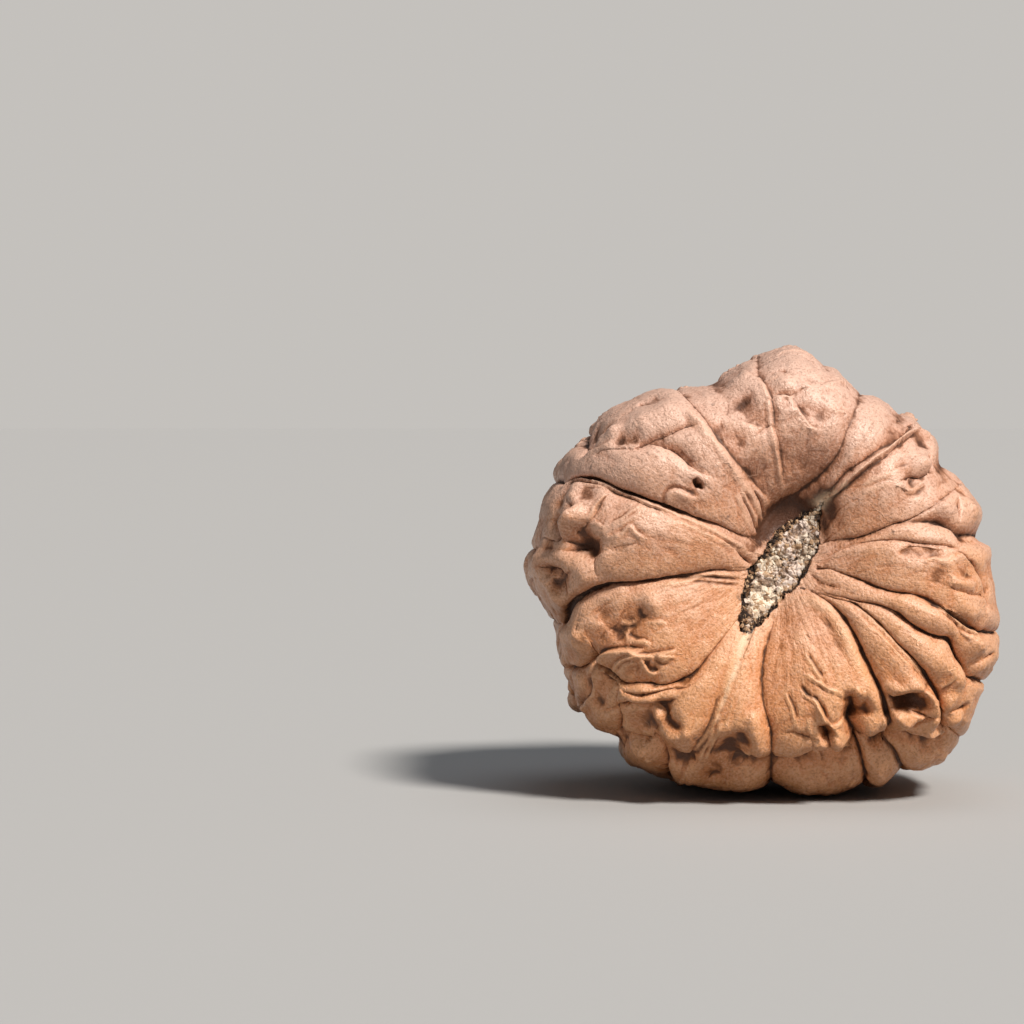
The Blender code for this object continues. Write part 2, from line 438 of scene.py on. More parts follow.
# %% [markdown]
# ## What the tools carve
#
# Two lobes of the shell that press against each other meet in a fold: each rolls over its edge like a
# quarter circle, so the fold is sharp at its bottom and soft at its shoulders. Where a lobe hangs over its
# neighbour, its edge is also drawn across the fold, which a plain displacement along the normal can't do.
# The other tools are simpler: a ledge is a lobe that ends in a step, a ridge is a thin raised line, and a
# lump or hollow is a soft mound or dent along a short stroke.
#
# Folds that run together mustn't add up, or the scar would sink into a pit. So their depths are joined by
# a sum of high powers, which stays close to the deepest of them.

# %% The carving tools
FOLD_POWER = 4
PULL_TO_ONE = 27 / 4
SHOULDER = 0.6
SHOULDER_WIDTH = 2.8
SLOT_GAIN = 0.4
MOUND_GAIN = 1.3
RIDGE_GAIN = 0.65
HOLLOW_SOFTNESS = 1.4
MOUND_REACH = 2.8
CREASE_FULL = 2.4
CREASE_WIDTH = 0.18
ENDS_FADE = 6.0
LEDGE_REACH = 0.6
LEDGE_FOOT = 0.2
LEDGE_FOOT_WIDTH = 0.18
LEDGE_FOOT_SHARE = 0.35
LEDGE_BEFORE = 0.16
LEDGE_STEP = 0.34
LEDGE_TOP = 0.15
LEDGE_TOP_WIDTH = 0.2
RIDGE_REACH = 3.2
FLANK_AT = 1.7
FLANK_WIDTH = 0.6
FLANK_SHARE = 0.3
# Strength of the painted shade at ledge feet, beside ridges and in thin creases, and of the painted
# highlight on ledge tops.
FOOT_DARK = 0.35
TOP_PALE = 0.7
THIN_DARK = 0.7
FLANK_DARK = 0.25
fold_powers = np.zeros(len(PLAIN))
relief = np.zeros(len(PLAIN))
drawn = np.zeros((len(PLAIN), 3))
crease = np.zeros(len(PLAIN))
vein = np.zeros(len(PLAIN))


def paint(mask, chosen, strength):
    """Keeps the stronger of what a mask holds and a new strength, at the chosen points."""
    mask[chosen] = np.maximum(mask[chosen], strength)


def away_from_ends(share):
    """0 at either end of a stroke, and 1 along the rest of it."""
    return np.clip(np.minimum(share, 1 - share) * ENDS_FADE, 0, 1)


def rolled(apart, width):
    """Share of a fold's depth at a distance from it: 1 in the fold, and 0 where the lobe's shoulder ends.
    Part of it is the lobe's edge, round like a quarter circle, and the rest is the shoulder's slow fall."""
    inward = 1 - np.clip(apart / width, 0, 1)
    edge = 1 - np.sqrt(np.clip(1 - inward**2, 0, 1))
    shoulder = (1 - np.clip(apart / width / SHOULDER_WIDTH, 0, 1)) ** 2
    return (1 - SHOULDER) * edge + SHOULDER * shoulder


def carve_fold(stroke, depth, left, right, slot=0.0, lean=0.0, dark=1.0):
    """Carves a fold. left and right are how wide each lobe's edge rolls; slot is a flat floor's width.
    A plus lean draws the left lobe over the fold, a minus lean the right one; dark is for its crease."""
    widest = max(np.max(left), np.max(right)) * SHOULDER_WIDTH + np.max(slot)
    chosen, side, share, leftward = stroke.around(widest)
    apart = np.clip(np.abs(side) - SLOT_GAIN * along_stroke(slot, share) / 2, 0, None)
    width = np.where(side > 0, along_stroke(left, share), along_stroke(right, share))
    depth = along_stroke(depth, share)
    fold_powers[chosen] += (depth * rolled(apart, width)) ** FOLD_POWER
    line = np.exp(-((apart / CREASE_WIDTH) ** 2))
    # The fold's line is painted dark: partly grime in the crease, partly painted shade.
    paint(crease, chosen, dark * np.clip(depth / CREASE_FULL, 0, 1) * line)
    if np.any(lean):
        lean = along_stroke(lean, share)
        over = np.where(np.sign(lean) == np.sign(side), np.clip(apart / width, 0, 1), 0)
        pull = over * (1 - over) ** 2 * PULL_TO_ONE
        drawn[chosen] -= leftward * (lean * pull)[:, None]


def carve_ledge(stroke, height, width):
    """Raises the left side of a stroke in a step that fades over a width, with a fine line at its foot."""
    chosen, side, share, _ = stroke.around(max(np.max(width), LEDGE_REACH))
    fade = np.clip(1 - side / along_stroke(width, share), 0, 1)
    ends = away_from_ends(share)
    height = along_stroke(height, share) * ends
    edge = smooth_step((side + LEDGE_BEFORE) / LEDGE_STEP)
    foot = np.exp(-(((side + LEDGE_FOOT) / LEDGE_FOOT_WIDTH) ** 2))
    top = np.exp(-(((side - LEDGE_TOP) / LEDGE_TOP_WIDTH) ** 2))
    relief[chosen] += height * (edge * fade**1.5 - LEDGE_FOOT_SHARE * foot)
    # Painted shade along the step's foot and painted highlight along its top.
    paint(crease, chosen, ends * FOOT_DARK * foot)
    paint(vein, chosen, ends * TOP_PALE * top)


def carve_ridge(stroke, height, width):
    """Raises a thin line with a fine groove on either side. A minus height cuts a thin crease instead."""
    chosen, side, share, _ = stroke.around(RIDGE_REACH * np.max(width))
    ends = away_from_ends(share)
    apart = np.abs(side) / along_stroke(width, share)
    line = ends * np.exp(-(apart**2))
    if np.max(height) < 0:
        relief[chosen] += along_stroke(height, share) * line
        # Painted shade along the thin crease.
        paint(crease, chosen, THIN_DARK * line)
        return
    flanks = ends * np.exp(-(((apart - FLANK_AT) / FLANK_WIDTH) ** 2))
    relief[chosen] += RIDGE_GAIN * along_stroke(height, share) * (line - FLANK_SHARE * flanks)
    # Painted highlight on the ridge, partly rubbed wear, and painted shade in the grooves at its flanks.
    paint(vein, chosen, line)
    paint(crease, chosen, FLANK_DARK * flanks)


def carve_mound(stroke, height, radius):
    """Raises a soft mound round a stroke. A minus height sinks a hollow."""
    chosen, side, share, _ = stroke.around(MOUND_REACH * np.max(radius))
    height, radius = along_stroke(height, share), along_stroke(radius, share)
    soft = np.where(height < 0, HOLLOW_SOFTNESS, 1.0)
    relief[chosen] += MOUND_GAIN / soft * height * np.exp(-((side / radius / soft) ** 2))


# %% [markdown]
# ## The great folds
#
# Twenty folds run outwards from the stem scar, and most of them go on over the rim to the tip. Each is
# given by the pixels that it passes in the front view and, where it goes on, by its clock angles behind,
# where nobody has seen it. A depth or width that changes is a list: its values are spread evenly along the
# part that is seen.

# %% Folds that run from the scar to the tip
OVER_THE_BACK = (104, 122, 142, 160, 172)
GREAT_FOLDS = {
    "crown": dict(
        seen="788,500 787,480 785,467 783,454 780,439 776,425 774,413 773,402 771,393 766,382 761,375 "
             "757,367 756,354",
        behind=(357, 352, 356, 350, 352), depth=(0.3, 0.5, 0.5, 0.45, 0.4, 0.4), left=0.5, right=2.2,
        dark=0.6),
    "soft": dict(
        seen="797,511 808,498 819,485 830,471 838,458 844,446 849,432 854,419 858,408 861,400 862,391",
        behind=(31, 27, 24, 26, 24), depth=(1.2, 1.4, 1.2, 0.8, 0.6, 0.5, 0.5), left=2.2, right=1.6,
        dark=0.7),
    "upper seam": dict(
        seen="822,503 833,491 848,473 866,460 884,449 899,436 913,424",
        behind=(), depth=(0.7, 0.9, 0.9, 1.0, 0.8), left=2.0, right=0.3, dark=0.7),
    "upper seam below": dict(
        seen="829,503 838,496 853,482 866,470 884,455 903,440 915,431",
        behind=(), depth=(0.6, 0.8, 0.8, 0.8, 0.6), left=0.3, right=2.0, dark=0.5),
    "brow": dict(
        seen="828,541 838,539 857,535 875,530 893,523 903,520 915,515 926,509 938,502 949,493 959,485",
        behind=(), depth=(0.4, 0.9, 1.1, 1.1, 1.0, 0.8, 0.4), left=2.4, right=0.9, slot=0.12, lean=0.45),
    "under brow": dict(
        seen="892,524 903,521 919,519 934,518 948,519 961,524 968,530 977,532",
        behind=(84, 88, 84, 86, 84), depth=(0.3, 1.0, 1.5, 1.7, 1.8, 1.6), left=1.6, right=1.6,
        slot=(0.1, 0.5, 0.7, 0.6, 0.4)),
    "cheek line": dict(
        seen="838,550 857,543 875,540 893,539 912,540 930,541 949,543 962,545 972,541",
        behind=(), depth=(0.3, 0.7, 0.9, 0.9, 0.8, 0.4), left=1.2, right=0.5, lean=0.25),
    "upper right": dict(
        seen="826,566 839,571 859,578 876,585 894,590 913,593 928,597 940,603 952,610 964,617 976,625 "
             "988,630",
        behind=(104, 108, 103, 106, 104), depth=(0.4, 0.9, 1.1, 1.1, 1.2, 1.5, 1.7), left=1.6, right=1.2,
        slot=(0.1, 0.15, 0.2, 0.3, 0.7, 1.2, 1.3), lean=0.25),
    "right": dict(
        seen="822,585 832,588 849,593 868,599 884,605 897,611 911,621 925,630 940,636 953,639 961,647 "
             "967,657 974,667 980,679",
        behind=(117, 119, 121, 117, 118), depth=(0.4, 0.9, 1.1, 1.3, 1.5, 1.8, 2.0, 2.0), left=1.5,
        right=1.3, slot=(0.1, 0.15, 0.2, 0.3, 0.5, 0.9, 0.8), lean=0.35),
    "lower right": dict(
        seen="812,588 825,591 840,596 853,601 865,610 878,621 890,633 901,645 913,656 925,670 934,681 "
             "942,691 948,699 951,709 953,720 954,733",
        behind=(130, 134, 131, 133, 132), depth=(0.4, 0.9, 1.2, 1.4, 1.5, 1.6, 1.7, 1.6), left=1.5,
        right=1.1, slot=(0.1, 0.15, 0.25, 0.3, 0.5, 0.8, 0.8), lean=0.35),
    "chin": dict(
        seen="806,588 818,595 830,603 841,615 849,627 857,641 863,654 870,667 878,683 884,695 889,708 "
             "892,720 895,733 896,750 897,766",
        behind=(146, 149, 145, 148, 146), depth=(0.3, 1.0, 1.5, 1.8, 2.0, 2.0, 1.9, 1.8), left=2.0,
        right=2.2, slot=(0.1, 0.2, 0.35, 0.45, 0.7, 0.9, 0.7), lean=0.25),
    "split": dict(
        seen="851,699 853,706 851,714 849,722 852,731 857,742 861,753 862,770",
        behind=(157, 161, 160), depth=(1.2, 1.8, 1.9, 1.9, 1.8), left=1.0, right=1.0,
        slot=(0.3, 0.5, 0.5, 0.3)),
    "foot": dict(
        seen="774,618 770,632 766,648 763,664 763,680 764,696 766,711 769,723 771,735 772,747 772,760 "
             "772,772",
        behind=(178, 182, 177, 180, 178), depth=(0.3, 0.8, 1.0, 1.1, 1.2, 1.3), left=2.4, right=1.2,
        slot=0.15),
    "lower seam": dict(
        seen="735,665 728,681 721,698 714,716 708,731 701,746 694,759 688,770",
        behind=(), depth=(0.2, 0.5, 0.9, 1.2), left=1.3, right=2.6, slot=(0.2, 0.7, 1.3), dark=0.3),
    "mouth": dict(
        seen="742,615 731,628 720,642 710,655 698,670 683,680 671,685 659,687 648,685 636,685 625,686 "
             "616,684 609,679 601,673 592,665 586,658 578,663 570,671",
        behind=(243, 239, 243, 240, 242), depth=(0.15, 0.35, 0.8, 1.3, 1.4, 1.3, 1.4, 1.7, 1.8),
        left=0.8, right=1.8, slot=(0.0, 0.15, 0.3, 0.3, 0.3, 0.5, 0.6), lean=-0.3),
    "deep": dict(
        seen="748,572 735,572 720,571 697,575 675,578 652,581 632,583 611,584 594,587 580,592 567,598 "
             "557,607 550,617 544,627 539,636",
        behind=(255, 259, 255, 258, 256), depth=(0.3, 1.0, 1.5, 1.8, 2.1, 2.4, 2.6, 2.4), left=1.5,
        right=2.3, slot=(0.1, 0.3, 0.45, 0.8, 1.6, 2.4, 2.0), lean=(-0.2, -0.5, -0.6, -0.6)),
    "knuckle": dict(
        seen="602,553 594,552 588,549 581,545 572,548 562,550 552,548 543,546 533,547",
        behind=(275, 277, 273, 276, 274), depth=(0.1, 0.7, 1.0, 0.4, 0.3, 0.4, 0.8), left=1.5, right=2.0),
    "long": dict(
        seen="757,542 745,538 735,533 725,528 715,524 700,519 685,512 667,505 649,498 630,490 612,483 "
             "600,477 588,472 575,470 563,472 556,477",
        behind=(291, 288, 293, 289, 291), depth=(0.4, 0.9, 1.5, 1.9, 2.0, 1.7, 1.4, 1.3), left=1.2,
        right=2.0, slot=(0.1, 0.3, 0.55, 0.7, 0.65, 0.5, 0.4), lean=(-0.2, -0.45, -0.45, -0.3)),
    "temple": dict(
        seen="605,426 599,429 594,433 589,440 583,447",
        behind=(309, 312, 308, 311, 309), depth=(0.3, 0.7, 0.9, 0.9), left=1.4, right=1.4),
    "straight": dict(
        seen="779,513 772,502 759,487 748,472 739,461 730,450 720,437 713,426 704,413 696,404 689,397 "
             "684,391",
        behind=(333, 337, 332, 335, 333), depth=(0.4, 0.7, 0.8, 0.7, 0.6, 0.5), left=0.6, right=2.2,
        dark=0.8),
}
BACK_CLEAR = 8
BACK_DEPTHS = (1.2, 1.2, 0.5)
BACK_WIDTHS = (1.7, 1.7, 1.2)
BACK_SLOTS = (0.3, 0.2, 0.1)


def last(values):
    """The value at the end of a list, or the single number itself."""
    return float(np.atleast_1d(values)[-1])


def great_fold(seen, behind, depth, left, right, slot=0.0, **more):
    """Carves one fold through the pixels seen, then over the back by its clock angles."""
    front = Stroke(trail(seen))
    carve_fold(front, depth, left, right, slot, **more)
    if behind:
        (clock,), (polar,) = angles(front.line[-1:])
        further = [(turn, down) for turn, down in zip(behind, OVER_THE_BACK) if down > polar + BACK_CLEAR]
        carve_fold(Stroke(then=[(clock, polar), *further]), (last(depth), *BACK_DEPTHS),
                   (last(left), *BACK_WIDTHS), (last(right), *BACK_WIDTHS), (last(slot), *BACK_SLOTS))


for fold in GREAT_FOLDS.values():
    great_fold(**fold)
print(len(GREAT_FOLDS), "great folds")

# %% [markdown]
# ## Wrinkles, ledges and hollows of the front
#
# Between the great folds the shell is never smooth. Small folds, ledges where one flap of shell lies over
# another, thin raised veins and round hollows give it its face. They are listed region by region.

# %% Small folds of the front: where, how deep, and how wide to the left and right
SMALL_FOLDS = {
    "crown arc": ("700,423 690,423 680,426 667,431 655,434 648,437 640,441",
                  (0.4, 0.7, 0.8, 0.7), 1.2, 0.5),
    "temple crease": ("722,476 712,476 703,473 695,468 688,462 682,456 676,450 669,446 660,443 650,441",
                      (0.1, 0.5, 0.8, 0.9, 0.6), 0.6, 1.2),
    "temple crease two": ("704,468 697,463 690,457 684,451", (0.2, 0.4, 0.2), 0.3, 0.5),
    "top arc": ("816,366 809,358 798,353 783,354 772,358", 0.3, 0.5, 0.35),
    "second arc": ("791,372 784,369 776,369 768,374", (0.2, 0.4, 0.4, 0.2), 0.8, 0.5),
    "third arc": ("799,388 790,391 783,390 777,391 772,394", (0.3, 0.6, 0.6, 0.3), 1.2, 0.5),
    "flap arc": ("794,414 788,417 780,417", 0.25, 0.6, 0.6),
    "crown dent line": ("796,397 804,406 812,414", (0.2, 0.4, 0.2), 1.0, 0.8),
    "soft shoulder": ("770,424 765,426 760,430", 0.35, 0.5, 0.4),
    "eye fold": ("905,478 914,475 923,477 932,471", (0.4, 0.8, 0.7, 0.5), 0.8, 0.6),
    "eye lid": ("900,486 908,489 917,485 928,478", (0.2, 0.3, 0.2), 0.3, 0.6),
    "nose fold": ("934,459 933,466 930,472", 0.6, 0.5, 0.8),
    "brow end": ("961,496 963,504 965,512 966,520", (0.3, 0.8, 0.8, 0.6), 0.8, 0.9),
    "lens top": ("903,549 912,545 926,546 938,548 948,550", (0.2, 0.45, 0.45, 0.2), 0.5, 1.1),
    "cheek flap": ("919,544 938,545 956,548 967,551 973,557 979,566 984,576 988,588",
                   (0.2, 0.4, 0.6, 0.6), 0.7, 0.6),
    "facet line": ("984,592 990,600 992,612", (0.3, 0.4, 0.3), 0.6, 0.6),
    "side crease": ("933,578 945,583 955,588 965,591 975,593 984,594", (0.2, 0.5, 0.5), 1.0, 0.6),
    "finger crease": ("938,606 950,613 960,622 966,632 972,638", (0.3, 0.6, 0.8, 0.8), 0.4, 0.8),
    "end crease": ("996,628 990,626 984,628 976,634", 0.6, 0.7, 0.6),
    "knob crease": ("996,656 990,660 984,664 979,668", 0.8, 0.8, 0.7),
    "inner right": ("853,608 865,618 876,629 888,641 899,652 911,664 921,674 929,685", 0.55, 0.35, 0.6),
    "under mouth": ("697,681 687,687 675,690 662,693 650,696 638,697 622,694",
                    (0.2, 0.8, 1.2, 1.1, 0.6), 0.9, 0.6),
    "third lip": ("676,699 668,703 660,706 650,708 640,709 628,708 618,710",
                  (0.4, 1.4, 1.8, 1.8, 1.4), 1.7, 0.6),
    "jaw": ("616,688 614,695 613,704 614,713 617,722 620,734", (0.6, 1.0, 1.2), 0.6, 0.8),
    "jaw two": ("590,668 588,678 587,690 584,700 578,708", (0.9, 0.8, 0.5), 1.0, 0.8),
    "low deep": ("586,657 590,663 594,672 601,678", (1.0, 0.8, 0.4), 0.9, 0.7),
    "toe crease": ("812,741 801,737 793,734 785,735 778,733", (0.5, 0.7, 0.6, 0.4), 1.4, 0.5),
    "toe side": ("812,743 814,752 814,762 811,769", (0.4, 0.7, 0.9), 0.6, 0.6),
    "left line": ("605,489 600,495 594,505 590,514 583,522 575,529", (0.3, 0.6, 0.7, 0.6), 0.6, 0.5),
    "left thin line": ("636,544 623,546 608,549 600,552 593,556", 0.4, 0.35, 0.3),
    "ring": ("590,563 591,570 594,577 598,583", 0.9, 0.7, 0.4),
    "second ring": ("558,575 560,583 565,591", 0.8, 0.6, 0.4),
    "third ring": ("553,582 556,588 560,592", 0.35, 0.5, 0.5),
    "hanging knob": ("588,540 577,541 568,541 561,539 557,534 554,527 552,521",
                     (0.4, 0.9, 0.9, 0.9, 0.7), 1.4, 1.3),
    "left brow": ("557,576 552,570 545,567 537,567", 0.9, 0.9, 0.45),
    "left slip": ("565,499 572,508 575,514", 0.3, 0.5, 0.5),
    "left flap": ("553,485 559,478 568,475 581,474", 0.45, 0.4, 0.7),
    "left rim": ("535,542 539,536 547,538 556,542", 0.45, 0.6, 0.4),
    "corner": ("582,465 588,457 597,449 608,446 620,445 634,446 645,451 656,457",
               (0.3, 0.45, 0.3, 0.15), 0.25, 0.8),
    "left dash": ("612,478 604,474 594,470 585,467 570,469", (0.2, 0.5, 0.5), 0.3, 0.6),
    "chin pinch": ("851,698 857,698 864,694", (1.2, 1.0, 0.4), 0.5, 0.5),
    "chin groove": ("884,710 887,720 885,730 883,742", (0.3, 0.9, 0.8, 0.4), 0.6, 0.6),
    "finger end": ("892,694 899,698 909,699 919,697 925,692", (1.0, 2.6, 2.8, 1.5), 0.4, 1.9),
    "under finger": ("899,716 908,714 917,716 926,719 936,722", (0.8, 1.2, 1.2, 0.8), 1.1, 0.45),
    "finger heel": ("905,741 916,738 927,730 938,721", (1.5, 1.8, 1.3), 0.8, 0.8),
    "nub top": ("947,711 955,712 961,711 968,708", 0.8, 0.6, 0.5),
    "heel": ("914,745 926,750 938,750 950,745", (1.4, 2.2, 1.5), 0.45, 2.2),
    "nub base": ("895,736 902,741 912,741 920,734", (1.2, 1.9, 1.4), 0.4, 1.5),
    "dark toe": ("803,776 809,768 816,764 825,764 834,767 844,772", (1.2, 2.2, 2.4, 1.8), 0.4, 2.4),
    "deep slit": ("822,729 827,733 829,741 831,750 834,760", (0.6, 1.3, 1.2, 0.8), 0.4, 0.45),
    "slit two": ("848,744 847,754 843,766", (0.4, 0.7, 0.7), 0.4, 0.4),
    "toe base": ("776,769 782,775 791,778 799,776 806,769", (0.8, 1.9, 2.0, 1.2), 0.35, 2.2),
    "chin base": ("862,752 868,757 876,758 885,755 893,748", (1.0, 2.0, 2.0, 1.2), 0.35, 2.2),
    "low dark": ("622,734 634,738 646,743 655,750 661,761 665,773 668,785", (0.8, 1.4, 1.5), 0.5, 1.7),
    "low pad": ("676,722 684,728 690,738 691,750 688,762", (0.2, 0.5, 0.5), 1.4, 0.8),
    "knob side": ("962,641 964,650 969,660 974,669 979,678", (0.9, 1.3, 1.0), 0.6, 0.9),
    "lip under": ("644,661 647,667 652,671 658,669", (0.4, 1.0, 0.4), 0.3, 0.6),
    "left lobe side": ("600,629 608,634 618,635 629,629", (0.2, 0.5, 0.5, 0.2), 1.2, 0.9),
    "outer lobe": ("571,622 572,632 576,640", (0.4, 0.6, 0.3), 0.6, 0.6),
    "dark hang": ("549,604 553,612 557,620 558,630", (0.4, 0.9, 0.9), 0.8, 0.8),
    "scar groove": ("756,566 749,561 740,553 730,545 718,538", (0.9, 0.8, 0.5, 0.2), 0.35, 0.6),
    "scar groove two": ("772,524 768,511 762,500 755,489", (0.8, 0.7, 0.3), 0.5, 0.35),
    "scar groove three": ("765,536 759,525 752,511 744,497", (0.5, 0.5, 0.2), 0.35, 0.3),
    "scar groove four": ("818,567 826,566 834,565", (0.7, 0.7, 0.3), 0.4, 0.4),
    "scar groove five": ("812,573 826,578 840,582 852,586", (0.4, 0.5, 0.2), 0.4, 0.35),
    "scar groove six": ("756,627 748,645 742,662", (0.4, 0.3, 0.1), 0.3, 0.4),
}
SMALL_LEAN = 0.12

for seen, depth, left, right in SMALL_FOLDS.values():
    carve_fold(Stroke(trail(seen)), depth, left, right, lean=SMALL_LEAN)
print(len(SMALL_FOLDS), "small folds")

# %% Ledges: flaps of shell that end in a step, raised on the left of the stroke
LEDGES = {
    "leaf": ("700,498 685,491 672,488 668,493 670,501 678,508 690,514", 0.45, 1.2),
    "crown flap": ("822,429 812,425 808,419 802,410 797,402", 0.26, 0.9),
    "brow flap": ("768,426 757,424 746,420 738,418 730,419 722,422", 0.12, 1.2),
    "rim flap": ("903,485 908,490 915,489 927,481", 0.25, 0.6),
    "temple ledge": ("613,436 607,441 600,444 591,447 582,448", 0.2, 1.0),
    "fan": ("640,503 628,511 619,518 608,524", 0.3, 0.5),
    "fan two": ("642,507 632,516 623,521 614,526", 0.25, 0.45),
    "fan three": ("648,539 638,533 630,525 622,531 613,535 604,536", 0.3, 0.6),
    "lip one": ("652,644 645,641 636,640 629,638 626,636 632,630", 0.4, 0.7),
    "lip two": ("679,649 670,651 660,653 650,655 640,655 632,652 627,645", 0.45, 0.9),
    "lip three": ("678,657 671,656 664,656 657,656 660,660 665,662 673,660", 0.35, 0.7),
    "lip four": ("658,671 651,670 646,666 643,659", 0.5, 0.8),
    "tongue edge": ("636,656 628,657 621,660 613,667 608,675", 0.35, 0.6),
    "tongue edge two": ("636,661 629,663 622,667 613,674", 0.3, 0.6),
    "big flap": ("645,650 632,650 618,650 603,652 594,655 593,661 596,669 603,676", 0.7, 1.8),
    "jaw ridge": ("590,671 596,675 605,680 612,685 617,690", 0.45, 0.6),
    "heel flap": ("849,714 843,723 834,727 827,722 822,712 816,702", 0.4, 0.8),
    "pale slip": ("668,623 660,621 647,622", 0.25, 0.4),
    "small chip": ("602,527 598,523 591,521", 0.25, 0.4),
    "finger face": ("944,693 954,685 959,675 959,665 955,655", 0.3, 0.7),
    "facet": ("948,565 953,559 960,555 967,554 974,560 979,568", -0.25, 0.8),
    "crown bow": ("756,378 750,373 742,370 733,372 724,381", 0.22, 1.1),
    "crown bow two": ("850,388 846,381 838,379 827,383 820,388", 0.22, 1.1),
}

for seen, height, width in LEDGES.values():
    carve_ledge(Stroke(trail(seen)), height, width)
print(len(LEDGES), "ledges")

# %% Ridges and thin creases
RIDGES = {
    "seam rib": ("825,504 836,493 850,478 865,465 879,453 892,443 903,436 916,428", 0.7, 0.17),
    "crown rib": ("789,506 787,494 783,480 779,459 775,443 772,428 770,413 768,397 763,386 755,373",
                  0.25, 0.23),
    "straight rib": ("757,497 749,487 741,476 728,458 717,443 704,428 691,413 682,402", 0.35, 0.42),
    "fan rib": ("774,530 767,517 760,505 753,495 745,485", 0.22, 0.18),
    "fan rib two": ("765,528 757,514 750,501 744,490", 0.2, 0.16),
    "fan rib three": ("757,532 750,519 744,506 738,494", 0.14, 0.16),
    "long rib": ("684,514 667,508 649,502 630,493 612,485 594,476 573,473 560,478", 0.75, 0.2),
    "long line": ("752,554 742,547 730,540 718,533 705,526 690,519 675,513 660,508 645,503 630,498",
                  0.22, 0.18),
    "long line two": ("752,561 742,553 730,546 716,539 700,531 685,524 670,518", 0.14, 0.16),
    "long echo": ("624,492 612,487 600,482 588,479 575,479", 0.2, 0.2),
    "deep line": ("745,580 730,579 715,578 700,578 680,581", -0.2, 0.16),
    "deep line two": ("742,586 725,584 705,582 690,583", -0.16, 0.14),
    "deep rib": ("744,577 728,576 712,575 696,580 676,584 655,587", 0.2, 0.2),
    "vein one": ("805,653 809,660 814,668 820,677 822,684", 0.24, 0.17),
    "vein two": ("803,674 813,679 821,684 829,689 839,693 849,700", 0.28, 0.17),
    "vein three": ("797,685 805,695 815,701 821,711 826,721 834,728", 0.25, 0.17),
    "vein four": ("784,691 788,699 792,709 794,719 795,729", 0.22, 0.17),
    "vein five": ("809,718 809,729 813,738", 0.22, 0.17),
    "vein six": ("832,730 840,737 847,744 848,752 844,766", 0.3, 0.2),
    "vein shade one": ("808,653 812,660 817,668 823,677", -0.18, 0.18),
    "vein shade three": ("800,684 808,694 818,700 824,710 829,720", -0.18, 0.18),
    "vein shade four": ("787,691 791,699 795,709 797,719", -0.16, 0.18),
    "cheek vein": ("923,561 934,558 947,562", 0.22, 0.16),
    "cheek vein two": ("945,564 951,559 957,553", 0.2, 0.18),
    "right hair": ("856,604 867,614 879,625 891,637 902,649 914,661 924,672 932,683", 0.35, 0.17),
    "right hair two": ("870,624 882,635 894,648 905,660 916,671", 0.25, 0.14),
    "gap strand": ("940,604 952,613 964,622 975,630 985,636", 0.7, 0.2),
    "gap strand two": ("946,603 958,610 969,617 980,624", 0.5, 0.18),
    "seam hair one": ("724,692 718,711 712,727 706,739 699,752 694,762", 0.35, 0.2),
    "seam hair two": ("714,729 710,743 702,759 698,769", 0.45, 0.17),
    "seam hair three": ("716,739 710,753 704,769", 0.4, 0.17),
    "seam hair four": ("721,722 717,736 711,751 706,764", 0.3, 0.17),
    "seam streak": ("741,634 737,650 733,664 729,680 724,697", 0.16, 0.35),
    "left rib": ("602,489 597,496 591,506 588,515 583,523", 0.3, 0.22),
    "deep tail": ("617,624 628,625 636,622", 0.2, 0.2),
    "centre rim": ("797,596 813,600 827,609 837,622 845,636 853,651 861,666 869,682", 0.3, 0.5),
    "arc line": ("770,377 776,374 783,374 791,376", 0.22, 0.2),
    "arc crest": ("772,355 783,351 798,350 810,355 818,363", 0.2, 0.25),
    "arc line two": ("774,395 780,393 790,394 797,392", 0.2, 0.2),
    "brow hair": ("862,487 872,480 884,475 896,472", 0.16, 0.25),
    "brow hair two": ("860,495 870,490 880,486 892,484", 0.14, 0.25),
    "mesh one": ("826,404 833,408 840,410 848,409", 0.16, 0.15),
    "mesh two": ("834,402 836,409 842,414", 0.14, 0.14),
    "mesh three": ("842,400 846,406 852,409", 0.14, 0.14),
}

for seen, height, width in RIDGES.values():
    carve_ridge(Stroke(trail(seen)), height, width)
print(len(RIDGES), "ridges and thin creases")

